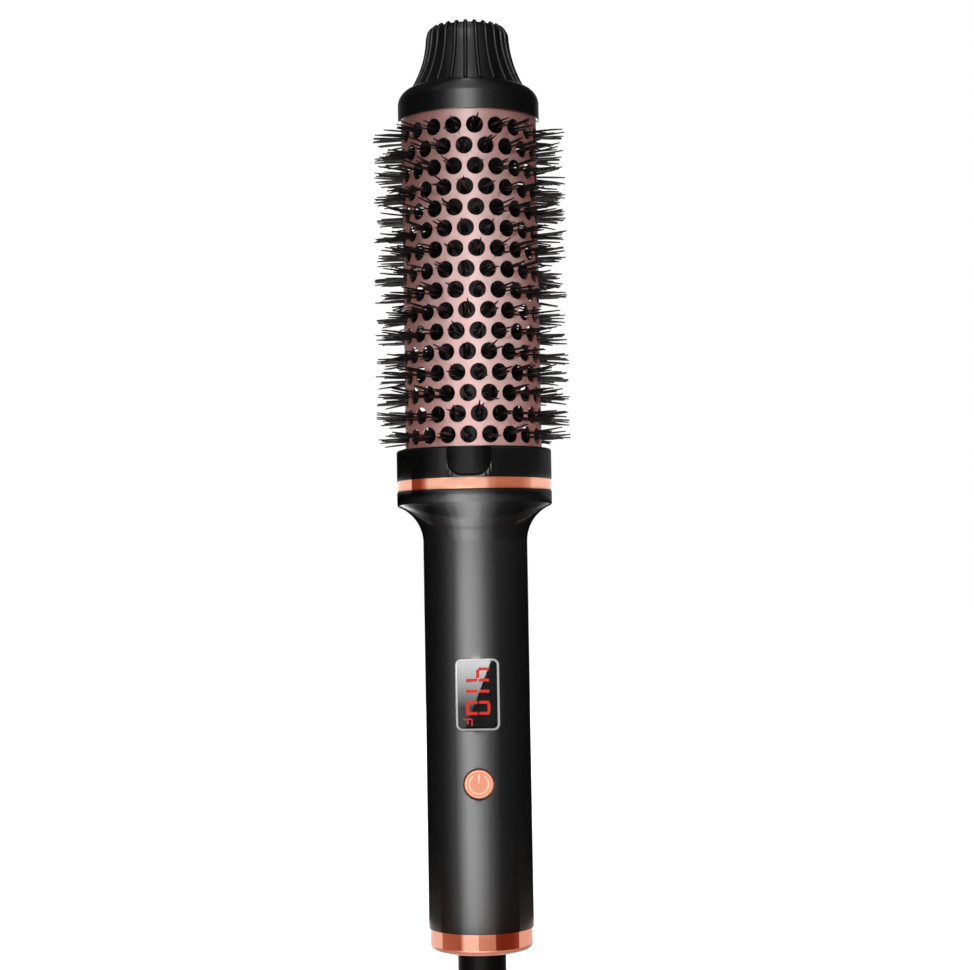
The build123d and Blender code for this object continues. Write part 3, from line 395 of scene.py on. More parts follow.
innerFinishes = [
    # extruded and black anodised, so that what shows through the holes is dark; drawn lines run along it
    ("Aluminium, extruded and black anodised", {"colour": "1C1A1A", "deep": "121111", "size": 0.4,
     "roughness": 0.5, "metallic": 0.6, "stretch": (1, 1, 0.05)}, ("heater_core", "upper_heat_ring",
                                                                  "lower_heat_ring", "clamp_wedge")),
    # a drawn can, plain and bright
    ("Aluminium, drawn", {"colour": "C9CBCD", "deep": "B5B7BA", "size": 0.5, "roughness": 0.34,
     "metallic": 1.0}, ("thermal_fuse",)),
    # zinc on steel: a cool grey with a faint cloud
    ("Steel, zinc plated", {"colour": "B9BCC0", "deep": "A1A5AA", "size": 0.4, "roughness": 0.34,
     "metallic": 1.0}, ("upper_core_screws", "lower_core_screws", "board_screws", "shell_screws")),
    # rolled sheet, stamped: warm yellow with rolling lines
    ("Brass, rolled and stamped", {"colour": "D9B45E", "deep": "C39C48", "size": 0.3, "roughness": 0.3,
     "metallic": 1.0, "stretch": (1, 1, 0.1)}, ("electrode_plates", "slip_rings", "contact_springs")),
    # fired and unglazed: dull dark grey with a fine grain
    ("Barium titanate, fired", {"colour": "5A5654", "deep": "484544", "size": 0.2, "roughness": 0.7},
     ("ptc_chips",)),
    # cast film: clear amber that shines
    ("Polyimide film, cast", {"colour": "C47A1C", "deep": "A96414", "size": 3, "roughness": 0.2, "bump": 0.05},
     ("insulating_film",)),
    # pressed in a hot mould: tan with darker flow marks
    ("Phenolic, compression moulded", {"colour": "B79A6E", "deep": "9C8058", "size": 1.2, "roughness": 0.55},
     ("insulator_disc",)),
    # moulded with a fine matt grain
    ("Polycarbonate, moulded black", {"colour": "0B0B0B", "deep": "070707", "size": 0.4, "roughness": 0.4},
     ("display_module",)),
    # solder mask over woven glass: the weave shows as a faint pattern
    ("Glass-epoxy laminate, solder masked", {"colour": "1C6B3C", "deep": "14552F", "size": 0.5,
     "roughness": 0.3}, ("main_board",)),
    # transfer moulded: dull black
    ("Epoxy, transfer moulded", {"colour": "1D1D1E", "deep": "141415", "size": 0.15, "roughness": 0.55},
     ("triac", "control_chip", "thermistor", "tact_switch", "switch_plunger", "swivel_housing")),
    # a cast box, slightly soft at the edges
    ("Epoxy, cast yellow", {"colour": "DDB62E", "deep": "CDA424", "size": 2, "roughness": 0.3},
     ("film_capacitor",)),
    # a can in a shrunk sleeve
    ("PVC sleeve, heat shrunk", {"colour": "26304E", "deep": "1E2740", "size": 1.5, "roughness": 0.25},
     ("filter_capacitor",)),
    # extruded silicone: a soft sheen
    ("Silicone rubber, extruded", {"colour": "A81F1B", "deep": "921814", "size": 0.8, "roughness": 0.45},
     ("supply_leads", "heater_leads", "sensor_lead")),
]
for name, look, names in innerFinishes:
    dress(plainFinish(name, look), *names)
print("inner materials made")


# the barrel: one cell of the perforated sheet, repeated, wrapped round and given its wall
barrel = {"rows": 16, "holesPerRow": 20, "holeRadius": 2.48, "pitch": 6.08, "firstRow": 88.35,
          "clocking": -3.6, "wall": 1.0, "rim": 0.12, "rimDrop": 0.12, "holeSides": 24, "edgeCuts": 5,
          "weld": 0.02, "smoothTo": 20}
barrelLow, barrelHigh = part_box("barrel_tube")
barrelRadius = barrelHigh.x
cellWidth = 2 * math.pi * barrelRadius / barrel["holesPerRow"]
cellHeight = barrel["pitch"] * mm


def makeCell():
    deselectAll()
    bpy.ops.mesh.primitive_plane_add(size=1, rotation=(math.pi / 2, 0, 0))
    cell = bpy.context.object
    cell.scale = (cellWidth, cellHeight, 1)
    placed(cell)
    bpy.ops.object.mode_set(mode="EDIT")
    bpy.ops.mesh.select_all(action="SELECT")
    bpy.ops.mesh.delete(type="ONLY_FACE")
    bpy.ops.mesh.select_all(action="SELECT")
    bpy.ops.mesh.subdivide(number_cuts=barrel["edgeCuts"])  # as many points all round as the hole has
    outer = (barrel["holeRadius"] + barrel["rim"]) * mm
    bpy.ops.mesh.primitive_circle_add(vertices=barrel["holeSides"], radius=outer, rotation=(math.pi / 2, 0, 0))
    bpy.ops.mesh.select_all(action="SELECT")
    bpy.ops.mesh.bridge_edge_loops()
    bpy.ops.object.mode_set(mode="OBJECT")
    chooseEdges(cell, lambda co: co.length < outer * 1.01)
    inner = barrel["holeRadius"] * mm / outer
    bpy.ops.mesh.extrude_edges_move(TRANSFORM_OT_translate={"value": (0, barrel["rimDrop"] * mm, 0)})
    bpy.ops.transform.resize(value=(inner, 1, inner), center_override=(0, barrel["rimDrop"] * mm, 0))
    bpy.ops.object.mode_set(mode="OBJECT")
    return cell


def makeBarrel():
    first = makeCell()
    second = copied(first, Matrix.Translation((cellWidth / 2, 0, cellHeight)))
    sheet = joined([first, second], "barrelSheet")
    # the second row stands half a cell on, so the next ones are set off by plain distances
    shaped(sheet, "ARRAY", count=barrel["holesPerRow"], use_relative_offset=False, use_constant_offset=True,
           constant_offset_displace=(cellWidth, 0, 0))
    shaped(sheet, "ARRAY", count=barrel["rows"] // 2, use_relative_offset=False, use_constant_offset=True,
           constant_offset_displace=(0, 0, 2 * cellHeight))
    sheet.location.x = -cellWidth * (barrel["holesPerRow"] / 2 - 0.25)
    sheet.location.z = barrel["firstRow"] * mm
    placed(sheet)
    bpy.ops.object.mode_set(mode="EDIT")
    bpy.ops.mesh.select_all(action="SELECT")
    bpy.ops.mesh.remove_doubles(threshold=barrel["weld"] * mm)
    bpy.ops.object.mode_set(mode="OBJECT")
    lowest = min(v.co.z for v in sheet.data.vertices)
    highest = max(v.co.z for v in sheet.data.vertices)
    for level, target in ((lowest, barrelLow.z), (highest, barrelHigh.z)):
        chooseEdges(sheet, lambda co: abs(co.z - level) < 0.01 * mm)
        bpy.ops.mesh.extrude_edges_move(TRANSFORM_OT_translate={"value": (0, 0, target - level)})
        bpy.ops.object.mode_set(mode="OBJECT")
    wrapped = 360 * (barrel["holesPerRow"] + 0.5) / barrel["holesPerRow"]
    shaped(sheet, "SIMPLE_DEFORM", deform_method="BEND", deform_axis="Z", angle=math.radians(wrapped))
    sheet.location.y = -barrelRadius
    placed(sheet)
    # the front of the sheet falls a quarter of a cell past a hole of its first row
    sheet.rotation_euler.z = math.radians(barrel["clocking"] - 0.25 * 360 / barrel["holesPerRow"])
    placed(sheet)
    bpy.ops.object.mode_set(mode="EDIT")
    bpy.ops.mesh.select_all(action="SELECT")
    bpy.ops.mesh.remove_doubles(threshold=barrel["weld"] * mm)
    bpy.ops.mesh.normals_make_consistent(inside=False)
    bpy.ops.object.mode_set(mode="OBJECT")
    shaped(sheet, "SOLIDIFY", thickness=barrel["wall"] * mm, offset=-1)
    smooth(sheet, barrel["smoothTo"])
    finished(sheet, barrelCoat, "brush", "barrel_coating", "barrel_tube")
    sheet.name = "barrelPerforated"
    return sheet


perforated = makeBarrel()
print("barrel made:", len(perforated.data.polygons), "faces")


# the bristles: one filament, a tuft of them for each hole, and the twenty strips that hold them
bristle = {"radius": 0.31, "fewest": 3, "most": 6, "root": 13.0, "reach": 29.25, "shorter": 3.6, "room": 1.8,
           "spread": 0.85, "bundle": 0.55, "lean": 0.65, "curl": 0.35, "sides": 6, "smoothTo": 65,
           "joints": ((0.45, 0.0, 1.0), (0.35, 0.35, 0.95), (0.2, 0.65, 0.62))}  # rise, sag, width of each part
strip = {"inner": 12.1, "outer": 13.7, "width": 3.4, "edge": 0.3}


def makeFilament():  # a unit long, bent a little one way and thinner at its tip
    deselectAll()
    bpy.ops.mesh.primitive_circle_add(vertices=bristle["sides"], radius=bristle["radius"] * mm, fill_type="NGON")
    filament = bpy.context.object
    bpy.ops.object.mode_set(mode="EDIT")
    for rise, sag, width in bristle["joints"]:
        bpy.ops.mesh.extrude_region_move(
            TRANSFORM_OT_translate={"value": (sag * bristle["curl"] * mm, 0, rise)})
        bpy.ops.transform.resize(value=(width, width, 1))
    bpy.ops.mesh.select_all(action="SELECT")
    bpy.ops.mesh.normals_make_consistent(inside=False)
    bpy.ops.object.mode_set(mode="OBJECT")
    filament.name = "filament"
    return filament


def makeStrip():
    thickness = strip["outer"] - strip["inner"]
    low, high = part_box("bristle_strips")
    height = high.z - low.z
    deselectAll()
    bpy.ops.mesh.primitive_cube_add(size=1)
    bar = bpy.context.object
    bar.scale = (strip["width"] * mm, thickness * mm, height)
    bar.location = (0, -(strip["inner"] + thickness / 2) * mm, low.z + height / 2)
    placed(bar)
    shaped(bar, "BEVEL", width=strip["edge"] * mm, segments=2, limit_method="ANGLE")
    bar.name = "stripBar"
    return bar


def makeBristles():
    filament = makeFilament()
    bar = makeStrip()
    made = []
    columnAngle = 360 / barrel["holesPerRow"]
    for column in range(barrel["holesPerRow"]):
        turn = Matrix.Rotation(math.radians(barrel["clocking"] + columnAngle * (column + 0.25)), 4, "Z")
        made.append(copied(bar, turn))
    for row in range(barrel["rows"]):
        height = (barrel["firstRow"] + row * barrel["pitch"]) * mm
        for column in range(barrel["holesPerRow"]):
            angle = math.radians(barrel["clocking"] + columnAngle * (column + 0.5 * (row % 2)))
            tuft = Matrix.Translation((0, 0, height)) @ Matrix.Rotation(angle, 4, "Z")
            way = random.uniform(0, 2 * math.pi)
            amount = bristle["bundle"] * math.sqrt(random.random())
            middle = Vector((amount * math.cos(way), amount * math.sin(way)))
            count = random.randint(bristle["fewest"], bristle["most"])
            for number in range(count):
                way += 2 * math.pi / count
                root = Vector((math.cos(way), math.sin(way))) * bristle["spread"] * random.uniform(0.4, 1)
                out = middle + root + Vector((random.uniform(-1, 1), random.uniform(-1, 1))) * bristle["lean"]
                if out.length > bristle["room"]:  # clear of the hole's wall
                    out *= bristle["room"] / out.length
                start = Vector((root.x, -bristle["root"], root.y)) * mm
                through = Vector((out.x, -barrelRadius / mm, out.y)) * mm
                aim = (through - start).normalized()
                reach = (bristle["reach"] - bristle["shorter"] * random.random() ** 2) * mm
                across = -start.dot(Vector((aim.x, aim.y, 0)))  # the length at which the tip is at its reach
                flat = math.hypot(aim.x, aim.y)
                length = (across + math.sqrt(across ** 2 - flat ** 2 * (start.x ** 2 + start.y ** 2 - reach ** 2))
                          ) / flat ** 2
                turned = aim.to_track_quat("Z", "X").to_matrix().to_4x4()
                spin = Matrix.Rotation(random.uniform(0, 2 * math.pi), 4, "Z")
                size = Matrix.Diagonal((1, 1, length, 1))
                made.append(copied(filament, tuft @ Matrix.Translation(start) @ turned @ spin @ size))
    bpy.data.objects.remove(filament)
    bpy.data.objects.remove(bar)
    brushwork = joined(made, "bristleStrips")
    smooth(brushwork, bristle["smoothTo"])
    finished(brushwork, nylon, "brush", "bristle_nylon", "bristle_strips")
    return brushwork


brushwork = makeBristles()
print("bristles made:", len(brushwork.data.polygons), "faces")


# the collar, the casing and the plated pieces: all but the turned ones have their sharp edges rounded over
softened("collar", collarPlastic, "brush", "tip_plastic", 0.05)
dress(rosePlate, "trim_ring")
dress(rosePlate, "end_cap")
softened("power_button", buttonPlate, "button", "rose_plate", 0.1)
easeFlare(softened("front_shell", casingPlastic, "brush", "casing_plastic", 0.05))
easeFlare(softened("rear_shell", casingPlastic, "brush", "casing_plastic", 0.05))
print("collar, casing and plated pieces made")


# the display: silver frame, smoked pane and lit strokes, each given by its place and its lengths
display = {"strokeFront": 14.17, "strokeDepth": 0.1, "stroke": 0.86, "corner": 0.26, "cornerShare": 0.3,
           "digits": {19.75: "upper", 16.49: "both", 13.25: "both", 10.01: "both", 6.81: "both"},
           "upper": (0.42, 3.46), "lower": (-3.36, -0.02),
           "crossings": ((0.1, 17.05, 19.65), (3.28, 7.15, 9.65), (-2.95, 7.15, 9.65)),
           "letter": ((-4.3, -1.7, 5.15, 0.36), (-1.9, -1.55, 4.15, 2.0), (-3.1, -2.75, 4.4, 1.5))}


def silverFrame():
    # ABS, moulded, then painted silver under clear lacquer: an even light grey with a soft glint
    material, tree, shader = newMaterial("ABS, painted silver and lacquered")
    place = objectPlace(tree)
    grain = noise(tree, place, 0.3, {"Detail": 2.0})
    tree.links.new(twoTones(tree, grain, "B6B5B6", "C0BFC0"), shader.inputs["Base Color"])
    tree.links.new(spread(tree, grain, 0.09, 0.13), shader.inputs["Roughness"])
    return material


def smokedPane():
    # Polycarbonate, moulded and hard coated: a clear pane tinted dark, with a mirror-smooth face
    material, tree, shader = newMaterial("Polycarbonate, smoked and hard coated")
    place = objectPlace(tree)
    cloud = noise(tree, place, 6)
    setShader(shader, {"Base Color": linear("48484C"), "Transmission Weight": 1.0, "IOR": 1.5})
    tree.links.new(spread(tree, cloud, 0.01, 0.03), shader.inputs["Roughness"])
    return material


def litStrokes():
    # Light guides cast in red acrylic, flush with the pane and lit from behind: an even saturated red
    material, tree, shader = newMaterial("Acrylic, cast red and lit from behind")
    place = objectPlace(tree)
    cloud = noise(tree, place, 0.5)
    setShader(shader, {"Base Color": linear("1C0302"), "Roughness": 0.6, "Specular IOR Level": 0.1,
                       "Emission Strength": 1.0})
    tree.links.new(twoTones(tree, cloud, "D22E22", "DC382C"), shader.inputs["Emission Color"])
    return material


def paleInk():
    # Printed ink: a pale peach line with a matt face and a faint glow, which is painted light
    material, tree, shader = newMaterial("Ink, pad printed, with a painted glow")
    place = objectPlace(tree)
    grain = noise(tree, place, 0.2)
    # the faint glow is painted light that brightens the ink
    setShader(shader, {"Roughness": 0.5, "Emission Color": linear("FFC8AA"), "Emission Strength": 0.15})
    tree.links.new(twoTones(tree, grain, "FBC4A6", "FFCFB2"), shader.inputs["Base Color"])
    return material


def makeStroke(low, high, middle, width):  # a bar along X, its corners cut, at its place on the display's front
    deselectAll()
    bpy.ops.mesh.primitive_plane_add(size=1, rotation=(math.pi / 2, 0, 0),
                                     location=((low + high) / 2 * mm, -display["strokeFront"] * mm, middle * mm))
    stroke = bpy.context.object
    stroke.scale = ((high - low) * mm, width * mm, 1)
    placed(stroke)
    bpy.ops.object.mode_set(mode="EDIT")
    bpy.ops.mesh.select_all(action="SELECT")
    corner = min(display["corner"], display["cornerShare"] * width, display["cornerShare"] * (high - low))
    bpy.ops.mesh.bevel(offset=corner * mm, segments=2, affect="VERTICES")
    bpy.ops.mesh.select_all(action="SELECT")
    bpy.ops.mesh.extrude_region_move(TRANSFORM_OT_translate={"value": (0, display["strokeDepth"] * mm, 0)})
    bpy.ops.mesh.select_all(action="SELECT")
    bpy.ops.mesh.normals_make_consistent(inside=False)
    bpy.ops.object.mode_set(mode="OBJECT")
    return stroke


def makeDigits():
    made = []
    for middle, halves in display["digits"].items():
        for half in ("upper", "lower"):
            if halves in (half, "both"):
                made.append(makeStroke(*display[half], middle, display["stroke"]))
    for across, low, high in display["crossings"]:
        half = display["stroke"] / 2
        made.append(makeStroke(across - half, across + half, (low + high) / 2, high - low))
    for low, high, middle, width in display["letter"]:
        made.append(makeStroke(low, high, middle, width))
    return joined(made, "displayDigits")


finished(makeDigits(), litStrokes(), "brush", "module_black")
softened("display_frame", silverFrame(), "brush", "frame_silver", 0.08)
dress(smokedPane(), "display_lens")
print("display made")


# the power symbol, printed on the button's face and moving with it
symbol = {"height": -13.75, "front": 15.1, "radius": 2.83, "line": 0.46, "gap": 33, "depth": 0.04,
          "barLow": 0.2, "barHigh": 3.0, "barCorner": 0.18, "sides": 72}


def makeSymbol():
    deselectAll()
    inner = symbol["radius"] - symbol["line"] / 2
    outer = symbol["radius"] + symbol["line"] / 2
    bpy.ops.mesh.primitive_circle_add(vertices=symbol["sides"], radius=inner * mm, rotation=(math.pi / 2, 0, 0))
    mark = bpy.context.object
    placed(mark)
    bpy.ops.object.mode_set(mode="EDIT")
    bpy.ops.mesh.select_all(action="SELECT")
    bpy.ops.mesh.extrude_edges_move()
    bpy.ops.transform.resize(value=(outer / inner, 1, outer / inner), center_override=(0, 0, 0))
    bpy.ops.object.mode_set(mode="OBJECT")
    chooseFaces(mark, lambda co: abs(math.degrees(math.atan2(co.x, co.z))) < symbol["gap"])
    bpy.ops.mesh.delete(type="FACE")
    bpy.ops.mesh.primitive_plane_add(size=1, rotation=(math.pi / 2, 0, 0),
                                     location=(0, 0, (symbol["barLow"] + symbol["barHigh"]) / 2 * mm))
    bpy.ops.transform.resize(value=(symbol["line"] * mm, 1, (symbol["barHigh"] - symbol["barLow"]) * mm))
    bpy.ops.mesh.bevel(offset=symbol["barCorner"] * mm, segments=3, affect="VERTICES")
    bpy.ops.mesh.select_all(action="SELECT")
    bpy.ops.mesh.extrude_region_move(TRANSFORM_OT_translate={"value": (0, -symbol["depth"] * mm, 0)})
    bpy.ops.mesh.select_all(action="SELECT")
    bpy.ops.mesh.normals_make_consistent(inside=False)
    bpy.ops.object.mode_set(mode="OBJECT")
    mark.location = (0, -symbol["front"] * mm, symbol["height"] * mm)
    placed(mark)
    mark.name = "powerSymbol"
    return mark


finished(makeSymbol(), paleInk(), "button", "rose_plate")
print("power symbol made")


# the camera: its lens, its place and its tilt to the brush
shot = {"lens": 73.9, "distance": 602, "side": 3.8, "height": 45.75, "aimHeight": 74.35, "roll": -0.96}
cameraData = bpy.data.cameras.new("camera")
cameraData.lens = shot["lens"]
cameraData.sensor_width = 36
cameraData.clip_start = 0.01
cameraData.clip_end = 20
camera = bpy.data.objects.new("camera", cameraData)
bpy.context.scene.collection.objects.link(camera)
eye = Vector((shot["side"], -shot["distance"], shot["height"])) * mm
aim = Vector((shot["side"], 0, shot["aimHeight"])) * mm
turn = (aim - eye).to_track_quat("-Z", "Y").to_matrix() @ Matrix.Rotation(math.radians(shot["roll"]), 3, "Z")
camera.matrix_world = Matrix.Translation(eye) @ turn.to_4x4()
bpy.context.scene.camera = camera
bpy.context.scene.view_settings.view_transform = "Standard"


# the stage: floor, world and lamps
stage = {"floorRadius": 6.0, "floorLift": 0.75, "worldLight": 0.35, "peak": 12.0, "sides": 0.036,
         "shortening": 0.55, "sameBelow": -0.24, "changedAbove": -0.2}


def seenRays(tree):  # 1 for what the camera sees directly or through glass
    rays = addNode(tree, "ShaderNodeLightPath")
    seen = addNode(tree, "ShaderNodeMath", {"operation": "MAXIMUM"},
                   {0: rays.outputs["Is Camera Ray"], 1: rays.outputs["Is Transmission Ray"]})
    return seen.outputs[0], rays.outputs["Is Glossy Ray"]


deselectAll()
bpy.ops.mesh.primitive_circle_add(vertices=96, radius=stage["floorRadius"], fill_type="NGON",
                                  location=(0, 0, cadBox[0].z - 0.1 * mm))
floor = bpy.context.object
floor.name = "floor"
floor.visible_glossy = False
floorPaint, tree, shader = newMaterial("Floor, matt white paper")
setShader(shader, {"Base Color": linear("F4F4F4"), "Roughness": 0.9, "Emission Color": (1, 1, 1, 1)})
lift = addNode(tree, "ShaderNodeMath", {"operation": "MULTIPLY", 1: stage["floorLift"]}, {0: seenRays(tree)[0]})
tree.links.new(lift.outputs[0], shader.inputs["Emission Strength"])
floor.data.materials.append(floorPaint)

# the softboxes and dark walls that gloss shows: each row of tones goes from left to right across a round
# piece of that radius, as shares of its half width, and holds from that height on the brush upwards; then come
# how much deeper than the tone its red, green and blue go, which is what warm plating shows, and how many
# millimetres its lower edge fades over, up and down
underTones = [(-1, 0.3), (-0.985, 0.0), (-0.6, 0.06), (-0.45, 0.35), (-0.38, 0.8), (-0.3, 1.8), (-0.2, 3.7),
              (-0.1, 4.6), (0.0, 4.5), (0.1, 2.6), (0.2, 1.1), (0.3, 0.4), (0.4, 0.15), (0.6, 0.05),
              (0.985, 0.0), (1, 0.3)]
gripTones = [(-1, 0.2), (-0.985, 0.0), (-0.85, 0.03), (-0.75, 0.08), (-0.65, 0.16), (-0.55, 0.36), (-0.45, 0.85),
             (-0.38, 1.7), (-0.3, 3.3), (-0.2, 5.1), (-0.1, 5.0), (0.0, 4.0), (0.1, 2.5), (0.2, 1.25), (0.3, 0.6),
             (0.4, 0.26), (0.5, 0.16), (0.6, 0.12), (0.7, 0.08), (0.85, 0.03), (0.985, 0.0), (1, 0.3)]
capTones = [(-1, 0.9), (-0.76, 0.9), (-0.75, 0.43), (-0.4, 0.36), (-0.37, 0.7), (-0.32, 0.98), (-0.06, 0.98),
            (-0.05, 0.63), (0.1, 0.6), (0.27, 0.56), (0.28, 0.2), (0.4, 0.17), (0.6, 0.18), (0.72, 0.28),
            (0.73, 0.79), (1, 0.8)]
flangeTones = [(-1, 0.0), (-0.65, 0.0), (-0.55, 0.04), (-0.45, 0.3), (-0.38, 0.6), (-0.3, 1.2), (-0.2, 1.95),
               (-0.1, 1.85), (0.0, 1.3), (0.1, 0.85), (0.2, 0.3), (0.3, 0.08), (0.4, 0.03), (0.6, 0.02),
               (0.8, 0.03), (0.9, 0.15), (1, 0.15)]
ringTones = [(-1, 0.98), (-0.8, 0.98), (-0.79, 0.25), (-0.68, 0.25), (-0.63, 0.5), (-0.57, 0.98), (0.14, 0.98),
             (0.2, 0.68), (0.3, 0.5), (0.6, 0.5), (0.7, 0.68), (0.74, 0.95), (1, 0.95)]
collarTones = [(-1, 0.3), (-0.985, 0.0), (-0.7, 0.04), (-0.62, 0.08), (-0.55, 0.2), (-0.45, 0.6), (-0.38, 1.35),
               (-0.33, 0.8), (-0.22, 0.0), (-0.17, 0.0), (-0.12, 0.4), (-0.07, 1.1), (0.0, 0.9), (0.06, 0.12),
               (0.12, 0.0), (0.2, 0.0), (0.26, 0.3), (0.35, 0.2), (0.6, 0.18), (0.8, 0.16), (0.88, 0.22), (1, 0.1)]
barrelTones = [(-1, 0.5), (-0.97, 0.2), (-0.85, 0.2), (-0.75, 0.4), (-0.6, 1.7), (-0.4, 2.8), (-0.25, 5.6),
               (-0.1, 4.6), (0.03, 7.4), (0.1, 7.2), (0.2, 6.6), (0.3, 5.2), (0.45, 4.3), (0.6, 2.8),
               (0.75, 0.8), (0.85, 0.1), (0.97, 0.2), (1, 0.5)]
headTones = [(-1, 0.2), (-0.97, 0.1), (-0.9, 0.05), (-0.8, 0.02), (-0.5, 0.06), (-0.38, 0.2), (-0.3, 0.5),
             (-0.2, 1.6), (-0.1, 3.9), (-0.03, 4.8), (0.05, 3.9), (0.14, 1.6), (0.22, 0.6), (0.35, 0.2),
             (0.5, 0.08), (0.7, 0.02), (0.93, 0.02), (0.97, 0.1), (1, 0.2)]
topTones = [(-1, 0.5), (-0.985, 0.02), (-0.6, 0.1), (-0.3, 0.6), (-0.1, 1.5), (0.05, 1.35), (0.25, 0.5),
            (0.5, 0.15), (0.7, 0.05), (0.985, 0.02), (1, 0.5)]
middleBarrelTones = [(across, tone * 0.85) for across, tone in barrelTones]
upperBarrelTones = [(across, tone * (0.5 if -0.2 < across < 0 else 0.7)) for across, tone in barrelTones]
neutral = (1, 1, 1)
warm = (1, 1.9, 2.3)
walls = [(-400, 15.65, underTones, neutral, 1), (-190, 15.65, gripTones, neutral, 1),
         (-67.5, 15.2, capTones, warm, 1), (-56.2, 15.65, gripTones, neutral, 0.6),
         (66.5, 23.3, flangeTones, neutral, 1), (72.55, 23.15, ringTones, warm, 0.3),
         (75.75, 23.3, collarTones, neutral, 0.3), (93, 20.5, barrelTones, neutral, 1),
         (128, 20.5, middleBarrelTones, neutral, 5), (145, 20.5, upperBarrelTones, neutral, 5),
         (160, 21.4, headTones, neutral, 1), (330, 14, topTones, neutral, 120)]


def facing(share, radius):  # the direction that a mirror piece shows there, as a share of a full turn
    turned = 2 * math.asin(share) + (radius * share - shot["side"]) / shot["distance"]
    return min(1.0, max(0.0, 0.5 + turned / (2 * math.pi)))


def rising(height, radius):  # the rise of the ray that the camera sends to that height, and that gloss sends on
    slope = (height - shot["height"]) / (shot["distance"] - radius)
    return slope / math.hypot(1, slope)


def paintWalls(tree):
    axes = addNode(tree, "ShaderNodeSeparateXYZ", {}, {"Vector": objectPlace(tree)})
    # half way between a direction and the front is the way that a mirror faces which shows it from there
    # and a direction that rises is shorter in plan, by about half the square of its rise
    square = addNode(tree, "ShaderNodeMath", {"operation": "MULTIPLY"}, {0: axes.outputs["Z"], 1: axes.outputs["Z"]})
    level = addNode(tree, "ShaderNodeMath", {"operation": "MULTIPLY_ADD", 1: -stage["shortening"], 2: 1.0},
                    {0: square.outputs[0]})
    front = addNode(tree, "ShaderNodeMath", {"operation": "SUBTRACT"}, {0: level.outputs[0], 1: axes.outputs["Y"]})
    # low down the studio is the same behind the brush as in front of it
    depth = addNode(tree, "ShaderNodeMath", {"operation": "ABSOLUTE"}, {0: axes.outputs["Y"]})
    either = addNode(tree, "ShaderNodeMath", {"operation": "ADD", 1: 1.0}, {0: depth.outputs[0]})
    high = addNode(tree, "ShaderNodeMapRange", {"From Min": stage["sameBelow"], "From Max": stage["changedAbove"]},
                   {"Value": axes.outputs["Z"]})
    front = addNode(tree, "ShaderNodeMix", {"data_type": "FLOAT"},
                    {0: high.outputs["Result"], 2: either.outputs[0], 3: front.outputs[0]})
    angle = addNode(tree, "ShaderNodeMath", {"operation": "ARCTAN2"}, {0: axes.outputs["X"], 1: front.outputs[0]})
    share = addNode(tree, "ShaderNodeMapRange", {"From Min": -math.pi / 2, "From Max": math.pi / 2},
                    {"Value": angle.outputs[0]})
    # a piece's sides stand further from the camera than its front, so they show each height a little lower
    middle = addNode(tree, "ShaderNodeMath", {"operation": "COSINE"}, {0: angle.outputs[0]})
    nearer = addNode(tree, "ShaderNodeMath", {"operation": "MULTIPLY_ADD", 1: -stage["sides"], 2: 1 + stage["sides"]},
                     {0: middle.outputs[0]})
    rise = addNode(tree, "ShaderNodeMath", {"operation": "MULTIPLY"}, {0: axes.outputs["Z"], 1: nearer.outputs[0]})
    painted = None
    for height, radius, tones, depth, fade in walls:
        ramp = addNode(tree, "ShaderNodeValToRGB", {}, {"Fac": share.outputs["Result"]})
        setStops(ramp, [(facing(across, radius), [tone ** power / stage["peak"] for power in depth] + [1])
                        for across, tone in tones])
        if painted is None:
            painted = ramp.outputs["Color"]
            continue
        above = addNode(tree, "ShaderNodeMapRange", {"From Min": rising(height - fade, radius),
                                                     "From Max": rising(height + fade, radius)},
                        {"Value": rise.outputs[0]})
        painted = addNode(tree, "ShaderNodeMix", {"data_type": "RGBA"},
                          {0: above.outputs["Result"], 6: painted, 7: ramp.outputs["Color"]}).outputs[2]
    return painted


world = bpy.data.worlds.new("studio")
bpy.context.scene.world = world
world.use_nodes = True
tree = world.node_tree
seen, glossy = seenRays(tree)
plain = addNode(tree, "ShaderNodeMapRange", {"To Min": stage["worldLight"], "To Max": 1.0}, {"Value": seen})
strength = addNode(tree, "ShaderNodeMix", {"data_type": "FLOAT", 3: stage["peak"]},
                   {0: glossy, 2: plain.outputs["Result"]})
colour = addNode(tree, "ShaderNodeMix", {"data_type": "RGBA", 6: (1, 1, 1, 1)}, {0: glossy, 7: paintWalls(tree)})
tree.links.new(strength.outputs[0], tree.nodes["Background"].inputs["Strength"])
tree.links.new(colour.outputs[2], tree.nodes["Background"].inputs["Color"])
world.cycles.sampling_method = "NONE"  # each ray finds the world by itself, so gloss never shows the plain light


lampAim = 70 * mm  # the height that all lamps point at


def addLamp(name, angle, height, distance, size, radiance):  # the angle is from the front towards +X
    data = bpy.data.lights.new(name, "AREA")
    data.shape = "RECTANGLE"
    data.size, data.size_y = size
    data.energy = radiance * math.pi * size[0] * size[1]
    lamp = bpy.data.objects.new(name, data)
    bpy.context.scene.collection.objects.link(lamp)
    turned = math.radians(angle)
    place = Vector((distance * math.sin(turned), -distance * math.cos(turned), height))
    lamp.location = place
    lamp.rotation_euler = (Vector((0, 0, lampAim)) - place).to_track_quat("-Z", "Y").to_euler()
    lamp.visible_camera = False
    lamp.visible_glossy = False  # gloss shows the painted walls instead


for lamp in (("frontSoft", 8, 0.25, 0.9, (0.6, 0.9), 2.6), ("backSoft", 190, 0.4, 1.2, (0.9, 0.9), 3.0),
             ("leftSoft", -95, 0.3, 1.0, (0.6, 0.9), 1.0), ("rightSoft", 95, 0.3, 1.0, (0.6, 0.9), 0.9),
             ("topSoft", 20, 1.1, 0.5, (0.8, 0.8), 0.6)):
    addLamp(*lamp)

